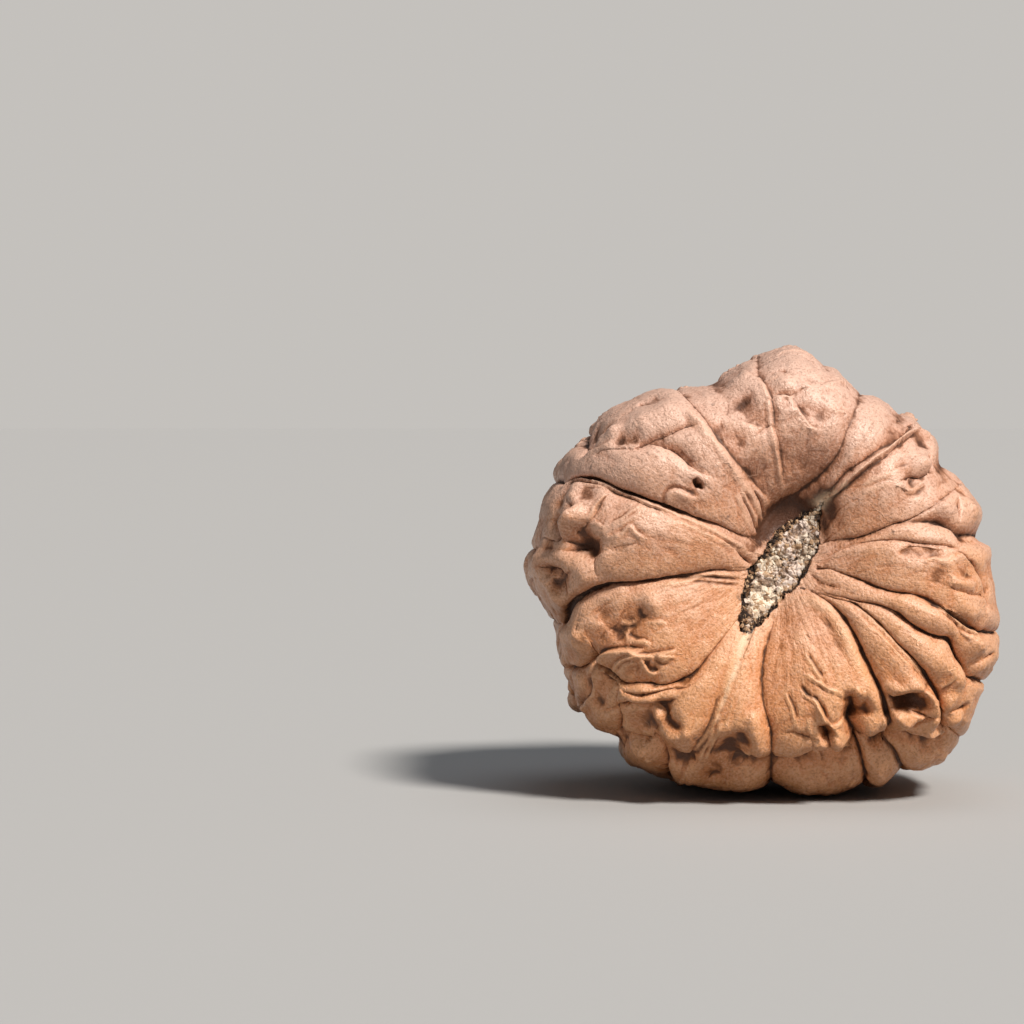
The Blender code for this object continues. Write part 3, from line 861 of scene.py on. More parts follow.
# %% Mounds and hollows
MOUNDS = {
    "ring": ("778,400 780,396 785,394 790,397 792,403 788,408 782,408 778,403", 0.1, 0.2),
    "ring hollow": ("784,401", -0.06, 0.35),
    "arc mound": ("783,380", 0.25, 0.7),
    "top hollow": ("743,402 749,409 757,415", -0.8, 1.1),
    "left pocket": ("723,428 730,434 737,438", -0.4, 0.65),
    "top mound": ("740,379", 0.2, 0.9),
    "crown hollow": ("802,399 810,406 818,411", -0.4, 0.7),
    "crown dive": ("800,478 799,498 796,516", -1.3, 2.5),
    "left dive": ("752,486 764,506 774,524", -0.8, 1.9),
    "scar wall": ("765,555 774,545 784,536 796,526 808,519 816,513", (-0.5, -1.0, -1.2, -1.2, -0.7), 1.2),
    "crown spot": ("811,379", -0.2, 0.5),
    "crown dip": ("845,372", -0.15, 0.8),
    "lower crown": ("800,440 815,455", -0.3, 2.4),
    "temple hollow": ("622,437 630,437", -0.6, 0.6),
    "temple hollow three": ("648,440 658,438", -0.4, 0.5),
    "temple hollow four": ("591,431 588,440", -0.5, 0.7),
    "temple pit": ("604,427", -0.4, 0.3),
    "temple bump": ("613,430", 0.35, 0.7),
    "temple lump": ("645,420 662,413", 0.35, 1.5),
    "temple crumple": ("672,449 683,460", -0.3, 0.8),
    "shoulder dip": ("651,399", -0.3, 0.8),
    "shoulder pit": ("641,403", -0.4, 0.22),
    "long belly": ("640,470 620,463", 0.25, 1.6),
    "temple face": ("615,455 625,452", -0.25, 0.9),
    "left hollow": ("559,490 557,497", -0.6, 0.8),
    "left hollow two": ("580,490", -0.85, 1.0),
    "left hollow three": ("612,501 606,508", -0.8, 1.2),
    "left saddle": ("570,495", 0.2, 0.5),
    "left mid": ("574,510 568,518", 0.3, 0.7),
    "pit": ("698,483", -1.0, 0.17),
    "pit two": ("702,486", -0.5, 0.14),
    "pit rim": ("694,486", -0.3, 0.35),
    "left socket": ("580,543 586,549", -1.25, 0.95),
    "left knob": ("573,516 567,524 561,532", 0.7, 0.8),
    "left dark": ("556,531 553,523", -0.9, 0.45),
    "left cheek": ("545,543", -0.35, 0.7),
    "left cheek two": ("567,547", -0.3, 0.5),
    "big knob": ("536,560", 0.35, 1.3),
    "knob hollow": ("542,572 552,578 546,583", -0.8, 0.65),
    "finger back": ("600,560 586,571 571,582 557,592", 0.35, 0.8),
    "finger tip": ("577,574", 0.2, 0.9),
    "last tip": ("546,597", 0.4, 1.0),
    "left shade": ("592,606 606,609 620,611", -0.8, 2.2),
    "shade bump": ("652,601", 0.3, 0.8),
    "deep socket": ("603,624 614,629 626,627", -0.8, 1.2),
    "small socket": ("643,614", -0.35, 0.4),
    "lobe nub": ("574,638", 0.35, 0.5),
    "lobe dip": ("590,640 598,644", -0.35, 0.7),
    "lobe one": ("573,650", 0.3, 0.9),
    "low socket": ("584,660 576,666", -0.7, 0.6),
    "low socket two": ("583,684", -0.6, 0.8),
    "jaw face": ("602,690 600,704", -0.7, 0.9),
    "jaw bone": ("591,680 589,695 583,708", 0.4, 0.5),
    "low lobe": ("640,690 655,689", 0.2, 0.8),
    "low bump": ("635,703 648,703", 0.3, 0.7),
    "low nub": ("656,717", 0.5, 0.45),
    "low pit": ("663,716 668,722 675,728", -0.7, 0.5),
    "low nub two": ("670,738 682,734", 0.4, 0.7),
    "low shade": ("655,748 664,757 674,766", -1.0, 1.1),
    "low lobe two": ("690,730 684,750", 0.3, 1.2),
    "eye": ("915,480", -0.5, 0.5),
    "nose": ("925,462", 0.45, 0.8),
    "nose top": ("926,434", 0.3, 0.6),
    "nose side": ("925,441", -0.35, 0.7),
    "nose shade": ("908,468", -0.25, 0.7),
    "ear bulge": ("975,508", 0.4, 0.9),
    "ear dip": ("963,490", -0.3, 0.4),
    "brow lobe": ("948,505", 0.3, 0.8),
    "lens": ("910,551 922,551 936,551", -0.4, 0.55),
    "facet": ("970,569", -0.3, 0.8),
    "facet two": ("938,577", -0.25, 0.6),
    "facet edge": ("955,581 972,584", 0.3, 0.5),
    "right end": ("983,644", 0.6, 1.0),
    "right end dark": ("986,656", -0.2, 0.8),
    "small finger": ("988,668", 0.35, 0.6),
    "finger pad": ("940,620 950,628", 0.3, 1.0),
    "finger pad two": ("905,604 920,612", 0.2, 0.9),
    "top finger": ("965,603 978,611", 0.3, 0.7),
    "long pad": ("938,665 925,650", 0.3, 1.1),
    "long tip": ("956,703", 0.4, 0.6),
    "facet end": ("967,680", 0.3, 0.9),
    "last nub": ("962,724", 0.45, 0.6),
    "middle dish": ("888,664 894,676", -0.15, 1.4),
    "middle lip": ("893,688 906,691 918,686", 0.4, 0.6),
    "finger edge": ("925,692 933,698 938,706 938,714", 0.5, 0.4),
    "finger hollow": ("912,706 926,707", -0.9, 0.6),
    "nub pad": ("904,722 909,731", 0.6, 0.7),
    "heel face": ("932,733", -0.25, 0.6),
    "heel pad": ("940,744 950,744", 0.5, 0.5),
    "chin pad": ("870,738 866,725", 0.3, 0.8),
    "chin pad two": ("878,703 872,690", 0.2, 0.8),
    "chin bulge": ("891,728 891,738", 0.4, 0.45),
    "chin dent": ("866,709 870,714", -0.4, 0.5),
    "chin lens": ("858,694", 0.25, 0.3),
    "dark corner": ("850,704 852,718", -0.9, 0.45),
    "toe": ("792,762", 0.4, 1.7),
    "toe face": ("789,748", -0.15, 0.8),
    "toe two": ("820,752", 0.4, 0.7),
    "toe four": ("854,750", 0.4, 0.6),
    "foot finger": ("754,722 756,740 758,758", 0.35, 0.65),
    "foot nub": ("747,763", 0.35, 0.25),
    "foot hollow": ("731,754 736,764 741,772", -2.0, 1.15),
    "foot notch": ("743,740 746,746", -0.6, 0.4),
    "foot lobe": ("722,735 720,750", 0.25, 0.8),
    "foot side": ("716,768 712,784", -1.3, 1.1),
    "toe gap": ("826,732 827,736", -1.0, 0.35),
    "toe lens": ("838,748 840,756", 0.45, 0.6),
    "chin gap": ("860,718 859,736 862,752", -1.7, 0.8),
    "toe under": ("783,785 797,786", -0.9, 1.3),
    "toes under": ("814,778 830,781 845,782", -2.2, 2.3),
    "chin under": ("868,768 884,766", -1.6, 1.7),
    "heel under": ("908,757 924,760 936,757", -1.8, 1.9),
    "foot under": ("742,783 756,782", -1.2, 1.3),
    "low dark lobe": ("634,748 645,758", 0.4, 1.2),
    "low face": ("632,726 645,728", -0.6, 1.0),
    "centre dip": ("832,640 826,625", -0.2, 1.0),
    "centre swell": ("800,650 806,670", 0.2, 2.0),
}

for seen, height, radius in MOUNDS.values():
    carve_mound(Stroke(trail(seen)), height, radius)
print(len(MOUNDS), "mounds and hollows")

# %% [markdown]
# ## The side and back, which the front view hides
#
# Behind the rim the shell goes on in the same hand: the great folds wander to the tip, smaller folds start
# between them, and short wrinkles cross the lobes and break them into knobs. A seeded generator lays these
# small strokes, so they differ from each other but come out the same every time.

# %% Seeded folds and wrinkles behind the rim
SEED = 11
BACK_FOLDS = 22
BACK_WRINKLES = 150
BACK_MOUNDS = 170
BACK_POLAR = (70, 168)
STRIDE = 1.5
SIDE_RADIUS = 21
AXIS_RADIUS = 20
LEAST_RADIUS = 4.0
chance = np.random.default_rng(SEED)


def wandering(clock, polar, heading, length, turn):
    """(clock, polar) places of a stroke that starts somewhere and wanders. Heading 0 is towards the tip."""
    places = [(clock, polar)]
    steps = max(3, round(length / STRIDE))
    for _ in range(steps):
        heading += chance.normal(0, turn)
        radius = max(LEAST_RADIUS, SIDE_RADIUS * math.sin(math.radians(polar)))
        polar += math.degrees(length / steps / AXIS_RADIUS) * math.cos(heading)
        clock += math.degrees(length / steps / radius) * math.sin(heading)
        places.append((clock, float(np.clip(polar, *BACK_POLAR))))
    return places


for number in range(BACK_FOLDS):
    start = number * 360 / BACK_FOLDS + chance.uniform(-5, 5)
    route = wandering(start, chance.uniform(88, 104), 0.0, chance.uniform(12, 22), 0.3)
    depth = chance.uniform(0.5, 1.1)
    width = chance.uniform(0.9, 1.8)
    carve_fold(Stroke(then=route), (0.1, depth, depth, 0.1), width, width, lean=chance.uniform(-0.3, 0.3))
for _ in range(BACK_WRINKLES):
    polar = math.degrees(math.acos(chance.uniform(-0.95, 0.1)))
    heading = chance.choice((0.0, 0.0, math.pi / 2, -math.pi / 2)) + chance.normal(0, 0.5)
    route = wandering(chance.uniform(0, 360), polar, heading, chance.uniform(2.5, 7), 0.35)
    depth = chance.uniform(0.2, 0.7)
    left, right = chance.uniform(0.4, 1.3), chance.uniform(0.4, 1.3)
    carve_fold(Stroke(then=route), (0.0, depth, depth, 0.0), left, right)
for _ in range(BACK_MOUNDS):
    polar = math.degrees(math.acos(chance.uniform(-0.97, 0.1)))
    place = (chance.uniform(0, 360), polar)
    carve_mound(Stroke(then=(place,)), chance.normal(0.05, 0.28), chance.uniform(0.6, 1.6))
print(BACK_FOLDS, "folds,", BACK_WRINKLES, "wrinkles and", BACK_MOUNDS, "mounds behind the rim")

# %% [markdown]
# ## The seam and the tip
#
# Where the two halves grew together, a rib stands up round the side and back of the nut, with a hairline
# along its top. It ends in the blunt point at the tip.

# %% The seam's rib round the back
SEAM_PLACES = [(47, 84), (46, 100), (44, 120), (43, 140), (42, 158), (41, 172)]
SEAM_PLACES_BELOW = [(199, 84), (202, 100), (206, 120), (210, 140), (214, 158), (218, 172)]

for places in (SEAM_PLACES, SEAM_PLACES_BELOW):
    seam = Stroke(then=places)
    carve_mound(seam, (0.2, 0.8, 1.0, 1.0, 0.7), 1.1)
    carve_fold(seam, (0.2, 0.35, 0.35, 0.2), 0.35, 0.35)
print("seam carved")

# %% [markdown]
# ## The stem scar
#
# The scar is a slot along the seam, where the stem tore away. Its two edges are traced as pixels, read as
# places across and along the slot, and looked up like a table, so that the slot in the shell and the plug
# in it follow one outline. Whether a point of the carved shell lies between the edges is asked along the
# camera's ray through it, because the folds have moved the skin since it was a plain form. Such points drop
# straight to the slot's floor. A curved sheet, fitted to the skin round the slot, is kept for the plug.

# %% The slot
SCAR_LEFT = ("741,631 739,615 743,601 744,585 750,569 759,557 767,545 776,533 787,525 799,518 810,513 "
             "818,508 825,500")
SCAR_RIGHT = ("741,631 751,630 761,624 771,614 778,604 787,594 797,586 804,576 809,566 814,556 818,545 "
              "818,532 819,519 822,509 825,500")
SCAR_WAVES = ((0.9, 0.4, 0.06), (2.3, 2.0, 0.05), (4.7, 1.1, 0.04), (8.3, 4.0, 0.03))
SLOT_DEPTH = 2.0
SLOT_EDGE = 0.14


def edge_table(pixels):
    """An edge of the scar, as places along the scar in rising order and the place across it at each."""
    places = np.array([at_depth(pixel, SCAR_LEVEL) for pixel in trail(pixels)])
    across, along = scar_frame(places)
    order = np.argsort(along)
    return along[order], across[order]


LEFT_EDGE = edge_table(SCAR_LEFT)
RIGHT_EDGE = edge_table(SCAR_RIGHT)
SCAR_FROM, SCAR_TO = LEFT_EDGE[0][[0, -1]]


def between_edges(along):
    """The middle of the scar at a place along it, and half its width there."""
    low, high = np.interp(along, *LEFT_EDGE), np.interp(along, *RIGHT_EDGE)
    return (low + high) / 2, np.clip((high - low) / 2, 0, None)


def beyond_edge(across, along):
    """How far in mm a place lies outside the scar's ragged edge. Inside the edge it is below 0."""
    middle, half = between_edges(along)
    sideways = np.abs(across - middle) - half
    past = np.clip(np.maximum(SCAR_FROM - along, along - SCAR_TO), 0, None)
    ragged = sum(height * np.sin(along * rate * np.where(across < middle, 1, 1.3) + phase)
                 for rate, phase, height in SCAR_WAVES)
    return np.where(past > 0, np.hypot(sideways, past), sideways) + ragged


def seen_at_depth(points, depth):
    """Where the camera's rays through points reach a depth. Points are in mm from the nut's centre."""
    rays = points + CENTRE - CAMERA_AT
    return CAMERA_AT + rays * ((depth - CAMERA_AT[1]) / rays[:, 1])[:, None] - CENTRE


def slopes(across, along):
    """The terms of a curved sheet over the scar's own frame."""
    return np.stack((np.ones_like(along), across, along, across**2, across * along, along**2), axis=-1)


print("scar from", SCAR_FROM.round(2), "to", SCAR_TO.round(2), "mm along the seam")

# %% Put the carving together
RIM_STARTS = 57.0
RIM_LOWER = 10.0
RIM_WIDTH = 30.0
RIM_ENDS = 178
RIM_END_WIDTH = 20
RIM_AT_TIP = 0.3
FRONT_ENDS = 60
NEAR_SCAR = 0.8

carved = relief - fold_powers ** (1 / FOLD_POWER)
points = PLAIN + NORMALS * carved[:, None] + drawn
across, along = scar_frame(seen_at_depth(points, SCAR_LEVEL))
beyond = beyond_edge(across, along)
in_front = POLAR < FRONT_ENDS
outside = np.clip(beyond, 0, None)
points += CENTRE
near = in_front & (beyond > 0) & (beyond < NEAR_SCAR)
scar_sheet = np.linalg.lstsq(slopes(across[near], along[near]), points[near, 1], rcond=None)[0]
slot = smooth_step(-beyond / SLOT_EDGE) * in_front
points[:, 1] += slot * (SCAR_LEVEL + SLOT_DEPTH - points[:, 1])
rim_starts = RIM_STARTS + RIM_LOWER * np.cos(np.radians(CLOCK))
rim = smooth_step((POLAR - rim_starts) / RIM_WIDTH)
rim = rim * np.clip((RIM_ENDS - POLAR) / RIM_END_WIDTH, RIM_AT_TIP, 1)
skin_depths = points[near, 1].round(1)
print("the shell's skin at the scar lies from", skin_depths.min(), "to", skin_depths.max(), "mm")
print("carved from", carved.min().round(2), "to", carved.max().round(2), "mm")

# %% [markdown]
# ## Coordinates that flow with the lobes
#
# The skin's finest wrinkles run the way the lobes do, from the scar outwards. A texture follows them if it
# reads a coordinate that turns round the scar and barely changes along a lobe. It is written on the mesh as
# a vector attribute, next to masks: where the creases and the veins are, how near a point is to the rim and
# to the scar, where painted shadow darkens the skin beside the scar, and where pale streaks run out of its
# ends.

# %% Attributes that the relief and the finish read
FLOW_STRETCH = 0.22
FLOW_RADIUS = 21.0
SCAR_RIM = 0.1
# How far, and how much on each side, painted shadow darkens the skin beside the scar.
SCAR_SHADOW_REACH = 1.5
SCAR_SHADOW_TURN = 5
SCAR_SHADOW_LEAST = 0.15
STREAK_FADE = 0.6
STREAKS = (
    ("750,626 746,636 742,647 739,660 735,672 730,684 726,694 722,707 717,722", (0.42, 0.3, 0.2, 0.14)),
    ("817,513 824,504 831,498 837,492 846,485", (0.4, 0.3, 0.26)),
)


def flow_places(points, polar):
    """Coordinates, in mm, that run round the scar in full and along the lobes drawn out."""
    share = ((1 + np.cos(np.radians(polar))) / 2)[:, None]
    turned = points[:, [0, 2]] - SCAR_MIDDLE[[0, 2]] * share
    turned = turned / (np.linalg.norm(turned, axis=1)[:, None] + 1e-6) * FLOW_RADIUS
    return np.column_stack((turned, np.radians(polar) * FLOW_RADIUS * FLOW_STRETCH))


flow = flow_places(PLAIN, POLAR)
scar = np.exp(-((outside / SCAR_RIM) ** 2)) * in_front
streak = np.zeros(len(PLAIN))
for pixels, widths in STREAKS:
    chosen, side, share, _ = Stroke(trail(pixels)).around(widths[0] * 2)
    line = np.exp(-((side / along_stroke(widths, share)) ** 2))
    paint(streak, chosen, line * (1 - STREAK_FADE * share))
# Painted shadow: the skin beside the scar is darkened most on its upper left, where the wall falls steeply
# into the slot and lies in shade.
upper_left = smooth_step((along - across) / SCAR_SHADOW_TURN)
scar_shadow = np.exp(-((outside / SCAR_SHADOW_REACH) ** 2)) * in_front * (SCAR_SHADOW_LEAST + (1 - SCAR_SHADOW_LEAST) * upper_left)
MASKS = {"crease": crease, "vein": vein, "rim": rim, "scar": scar, "scar_shadow": scar_shadow, "streak": streak}
print("masks:", {name: float(mask.mean().round(3)) for name, mask in MASKS.items()})

# %% [markdown]
# ## Node trees written as arithmetic
#
# Geometry and shader trees are both built by calls. A graph adds a node in one call: its type, its
# settings, and what goes into each socket. A wire is a node's output that takes part in Python's own
# arithmetic, so that 1 - mask adds the Math node that works it out.

# %% A small language for node trees
class Wire:
    """An output socket that takes part in arithmetic. Each operation adds its Math node."""

    def __init__(self, graph, socket):
        self.graph, self.socket = graph, socket

    def maths(self, operation, first, second):
        return self.graph.node("ShaderNodeMath", {"operation": operation}, {0: first, 1: second})

    def __add__(self, other):
        return self.maths("ADD", self, other)

    def __sub__(self, other):
        return self.maths("SUBTRACT", self, other)

    def __rsub__(self, other):
        return self.maths("SUBTRACT", other, self)

    def __mul__(self, other):
        return self.maths("MULTIPLY", self, other)

    def __pow__(self, other):
        return self.maths("POWER", self, other)

    __radd__ = __add__
    __rmul__ = __mul__


class Graph:
    """A node tree, built one call at a time."""

    def __init__(self, tree):
        self.tree = tree
        tree.nodes.clear()

    def node(self, kind, settings=None, sockets=None, output=0):
        """Adds a node: its settings first, then a value or a wire for each socket. Returns one output."""
        made = self.tree.nodes.new(kind)
        for name, value in (settings or {}).items():
            setattr(made, name, value)
        for name, value in (sockets or {}).items():
            if isinstance(value, Wire):
                self.tree.links.new(value.socket, made.inputs[name])
            else:
                made.inputs[name].default_value = value
        return Wire(self, made.outputs[output]) if made.outputs else None

    def attribute(self, name, output="Fac"):
        """An attribute of the mesh, in a material."""
        return self.node("ShaderNodeAttribute", {"attribute_name": name}, output=output)

    def noise(self, place, scale, detail=3.0, roughness=0.5):
        """Noise from 0 to 1 that is mostly near a half."""
        sockets = {"Vector": place, "Scale": scale, "Detail": detail, "Roughness": roughness}
        return self.node("ShaderNodeTexNoise", {}, sockets)

    def ramp(self, value, low, high, start=0.0, end=1.0):
        """Value taken smoothly from start, where it is low, to end, where it is high."""
        sockets = {"Value": value, "From Min": low, "From Max": high, "To Min": start, "To Max": end}
        return self.node("ShaderNodeMapRange", {"interpolation_type": "SMOOTHSTEP"}, sockets)

    def blend(self, factor, first, second):
        """Two colours mixed by a factor."""
        return self.node("ShaderNodeMix", {"data_type": "RGBA"}, {0: factor, 6: first, 7: second}, output=2)

    def layered(self, colour, layers):
        """A colour with layers over it, from the lowest. Each is a factor and its own colour."""
        for factor, layer in layers:
            colour = self.blend(factor, colour, layer)
        return colour

    def scaled(self, vector, factor):
        """A vector times a number."""
        return self.node("ShaderNodeVectorMath", {"operation": "SCALE"}, {0: vector, "Scale": factor})

    def random(self, low, high, seed):
        """A random number for each point or, where low and high are triples, a random vector."""
        if isinstance(low, tuple):
            return self.node("FunctionNodeRandomValue", {"data_type": "FLOAT_VECTOR"},
                             {"Min": low, "Max": high, "Seed": seed})
        return self.node("FunctionNodeRandomValue", {"data_type": "FLOAT"},
                         {2: low, 3: high, "Seed": seed}, output=1)


def new_material(name):
    """A material, and the graph of its node tree."""
    material = bpy.data.materials.new(name)
    material.use_nodes = True
    return material, Graph(material.node_tree)


def new_object(name, data):
    """An object in the scene, made of its data."""
    made = bpy.data.objects.new(name, data)
    bpy.context.scene.collection.objects.link(made)
    return made


def plain_mesh(piece):
    """Replaces a piece's mesh by the outcome of its modifiers, and removes them."""
    made = bpy.data.meshes.new_from_object(piece.evaluated_get(bpy.context.evaluated_depsgraph_get()))
    old = piece.data
    piece.modifiers.clear()
    piece.data = made
    bpy.data.meshes.remove(old)
    made.name = piece.name


def add_nodes(piece, group, values):
    """Gives a piece a Geometry Nodes modifier, with its inputs set by their names in the group."""
    change = piece.modifiers.new(group.name, "NODES")
    change.node_group = group
    for item in group.interface.items_tree:
        if item.in_out == "INPUT" and item.name in values:
            change[item.identifier] = values[item.name]


def geometry_group(name, inputs):
    """An empty geometry tree with named inputs, and its graph and input wires."""
    group = bpy.data.node_groups.new(name, "GeometryNodeTree")
    group.interface.new_socket("Geometry", in_out="INPUT", socket_type="NodeSocketGeometry")
    for label, (kind, value) in inputs.items():
        socket = group.interface.new_socket(label, in_out="INPUT", socket_type=kind)
        if value is not None:
            socket.default_value = value
    group.interface.new_socket("Geometry", in_out="OUTPUT", socket_type="NodeSocketGeometry")
    graph = Graph(group)
    entry = group.nodes.new("NodeGroupInput")
    wires = {socket.name: Wire(graph, socket) for socket in entry.outputs if socket.name}
    return group, graph, wires


def close_group(graph, geometry, material):
    """Ends a geometry tree: instances made real, and its material set."""
    real = graph.node("GeometryNodeRealizeInstances", {}, {"Geometry": geometry})
    dressed = graph.node("GeometryNodeSetMaterial", {}, {"Geometry": real, "Material": material})
    graph.node("NodeGroupOutput", {}, {"Geometry": dressed})


# %% [markdown]
# ## Knobs and wrinkles that follow the surface
#
# Strokes give the nut its own face. What lies between them repeats with small changes all over the shell:
# low knobs that grow towards the rim, and fine wrinkles along the lobes. That is work for Geometry Nodes,
# which move each point along its normal by textures that read the flow coordinates.

# %% The relief tree
FLOAT = "NodeSocketFloat"
PLACE_SHARE = 0.45
WANDER_SCALE = 0.35
WANDER_REACH = (2.4, 2.4, 2.4)
KNOB_MIDDLE = 0.42
VALLEY_WIDTH = 0.06
WRINKLES_IN_FRONT = 0.25
relief_group, nodes, given = geometry_group("walnut_relief", {
    "Knob Scale": (FLOAT, 0.5),
    "Knob Height": (FLOAT, 0.4),
    "Wrinkle Scale": (FLOAT, 0.9),
    "Wrinkle Depth": (FLOAT, 0.2),
    "Skin Scale": (FLOAT, 2.0),
    "Skin Height": (FLOAT, 0.04),
    "Granule Scale": (FLOAT, 2.0),
    "Granule Height": (FLOAT, 0.5),
    "Seed": (FLOAT, 0.0),
    "Material": ("NodeSocketMaterial", None),
})


def named(graph, name, kind="FLOAT"):
    """An attribute of the mesh, in a geometry tree."""
    return graph.node("GeometryNodeInputNamedAttribute", {"data_type": kind}, {"Name": name})


flow_wire = named(nodes, "flow", "FLOAT_VECTOR")
rim_wire = named(nodes, "rim")
scar_wire = named(nodes, "scar")
place = nodes.scaled(nodes.node("GeometryNodeInputPosition"), 1 / MM)
mixed = nodes.node("ShaderNodeMix", {"data_type": "VECTOR"},
                   {0: PLACE_SHARE, 4: flow_wire, 5: place}, output=1)
shifted = nodes.node("ShaderNodeVectorMath", {"operation": "ADD"}, {0: mixed, 1: given["Seed"]})
wander = nodes.node("ShaderNodeTexNoise", {},
                    {"Vector": shifted, "Scale": WANDER_SCALE, "Detail": 2.0}, output=1)
bent = nodes.node("ShaderNodeVectorMath", {"operation": "MULTIPLY_ADD"},
                  {0: wander, 1: WANDER_REACH, 2: shifted})
knob = nodes.node("ShaderNodeTexVoronoi", {"feature": "SMOOTH_F1"},
                  {"Vector": bent, "Scale": given["Knob Scale"], "Smoothness": 0.5, "Randomness": 1.0})
knob_height = (KNOB_MIDDLE - knob) * given["Knob Height"] * rim_wire
wrinkle = nodes.noise(shifted, given["Wrinkle Scale"], 2.0, 0.5)
valley = nodes.node("ShaderNodeMath", {"operation": "ABSOLUTE"}, {0: wrinkle - 0.5})
wrinkled = WRINKLES_IN_FRONT + (1 - WRINKLES_IN_FRONT) * rim_wire
wrinkle_depth = (nodes.ramp(valley, 0.0, VALLEY_WIDTH) - 1.0) * given["Wrinkle Depth"] * wrinkled
skin = (nodes.noise(place, given["Skin Scale"], 3.0, 0.6) - 0.5) * given["Skin Height"]
granules = (nodes.noise(place, given["Granule Scale"], 2.0, 0.6) - 0.5) * given["Granule Height"]
granules = granules * scar_wire
height = ((knob_height + wrinkle_depth + skin) * (1.0 - scar_wire) + granules) * MM
offset = nodes.scaled(nodes.node("GeometryNodeInputNormal"), height)
moved = nodes.node("GeometryNodeSetPosition", {}, {"Geometry": given["Geometry"], "Offset": offset})
close_group(nodes, moved, given["Material"])
print("relief tree:", len(relief_group.nodes), "nodes")

# %% [markdown]
# ## The shell's finish
#
# A walnut that is rolled in the hand takes up skin oil and a waxy sheen. Its tan is painted cooler and
# pinker higher up and more orange lower down, which is painted light: the tint of a cool light from above
# and warm bounce from below. Hollows and creases are painted dark brown to black, partly as grime in the
# creases and partly as painted shade. Tops and veins are painted paler, partly as rubbed wear and partly as
# painted highlight, and upward faces get pale dust mixed with a painted sheen. Fine grain covers it all, and
# its tiny tops catch the light, helped by painted pale glints. The masks carry what belongs to a place, and
# noise carries what doesn't.

# %% Colours of the shell
# Painted light: each HIGH colour, cooler and pinker, is the skin as a cool light from above tints it, and
# each LOW colour, warmer and more orange, is the skin as warm bounce from below tints it.
LOBE_HIGH = (0.51, 0.252, 0.165, 1)
LOBE_LOW = (0.66, 0.275, 0.112, 1)
# Paler colour of tops and thin ridges: partly rubbed wear, partly painted highlight.
RUBBED_LIT_HIGH = (0.76, 0.47, 0.35, 1)
RUBBED_LIT_LOW = (0.82, 0.46, 0.24, 1)
# Painted shade colours, cooler above and warmer below.
SHADE_HIGH = (0.20, 0.085, 0.048, 1)
SHADE_LOW = (0.24, 0.076, 0.016, 1)
# Pale pinkish colour: partly dust in patches, partly painted sheen on upward faces and painted glints on the
# grain's tops.
DUST_AND_SHEEN = (0.82, 0.58, 0.48, 1)
MIDDLE_TONE = 24.0
BACK_TONES = 0.35
# Painted shade: near-black brown of deep hollows and of fine wrinkle valleys.
GROUND_SHADE = (0.062, 0.020, 0.008, 1)
# Near-black of creases and of the lines at ledge feet and ridge flanks: partly dark grime in the creases,
# partly painted shade.
CREASE_GRIME_AND_SHADE = (0.026, 0.010, 0.005, 1)
SCAR_EDGE = (0.012, 0.007, 0.005, 1)
SCAR_BROWN = (0.20, 0.10, 0.05, 1)
STREAK = (0.86, 0.66, 0.46, 1)

# Noises: scale, detail and roughness.
CLOUDS = (170.0, 3.0, 0.5)
PATCHES = (1000.0, 4.0, 0.6)
GRAIN = (4200.0, 2.0, 0.6)
PORES = (1500.0, 2.0, 0.5)
THREADS = (1.6, 4.0, 0.6)
CONTOURS = (260.0, 3.0, 0.55)
NET_PATCHES = (210.0, 2.0, 0.5)
CRUMBLY = (2200.0, 3.0, 0.6)
BARE = (480.0, 2.0, 0.5)

shell_skin, skin_graph = new_material("shell_skin")
spot = skin_graph.node("ShaderNodeTexCoord", output=3)
drift = skin_graph.attribute("flow", "Vector")
crease_mask = skin_graph.attribute("crease")
vein_mask = skin_graph.attribute("vein")
hollow_mask = skin_graph.attribute("hollow")
height_mask = skin_graph.attribute("lift")
scar_mask = skin_graph.attribute("scar")
scar_shadow_mask = skin_graph.attribute("scar_shadow")
streak_mask = skin_graph.attribute("streak")

clouds = skin_graph.noise(spot, *CLOUDS)
patches = skin_graph.noise(spot, *PATCHES)
grain = skin_graph.noise(spot, *GRAIN)
threads = skin_graph.noise(drift, *THREADS)
contour = skin_graph.noise(spot, *CONTOURS) - 0.5
contour = skin_graph.node("ShaderNodeMath", {"operation": "ABSOLUTE"}, {0: contour})
net_patches = skin_graph.ramp(skin_graph.noise(spot, *NET_PATCHES), 0.50, 0.60)
net = skin_graph.ramp(contour, 0.012, 0.002) * net_patches

# Painted light: the colours go from cool pink above to warm orange below, as a cool light from above and
# warm bounce from below would tint them. Behind, the change is weaker.
up = skin_graph.node("ShaderNodeSeparateXYZ", {}, {0: spot}, output=2) * (1 / MM)
to_front = skin_graph.ramp(skin_graph.node("ShaderNodeSeparateXYZ", {}, {0: spot}, output=1), 0.006, -0.010)
tone_height = MIDDLE_TONE + (up - MIDDLE_TONE) * (BACK_TONES + (1 - BACK_TONES) * to_front)
low_down = skin_graph.ramp(tone_height + 10.0 * (clouds - 0.5) + 3.0 * (patches - 0.5), 42.0, 8.0)
lobe = skin_graph.blend(low_down, LOBE_HIGH, LOBE_LOW)
rubbed_and_lit = skin_graph.blend(low_down, RUBBED_LIT_HIGH, RUBBED_LIT_LOW)
shade = skin_graph.blend(low_down, SHADE_HIGH, SHADE_LOW)
# Convex tops are paled: partly rubbed wear, partly painted highlight.
on_top = skin_graph.ramp(hollow_mask + 0.3 * (patches - 0.5), -0.2, -1.0, 0.0, 0.45)
# Painted sheen where the skin faces up, mixed with patchy dust, and less of it lower down.
dust_and_sheen = skin_graph.ramp(0.3 * patches + 0.7 * clouds + 0.45 * height_mask - 0.25 * hollow_mask, 0.45, 1.0)
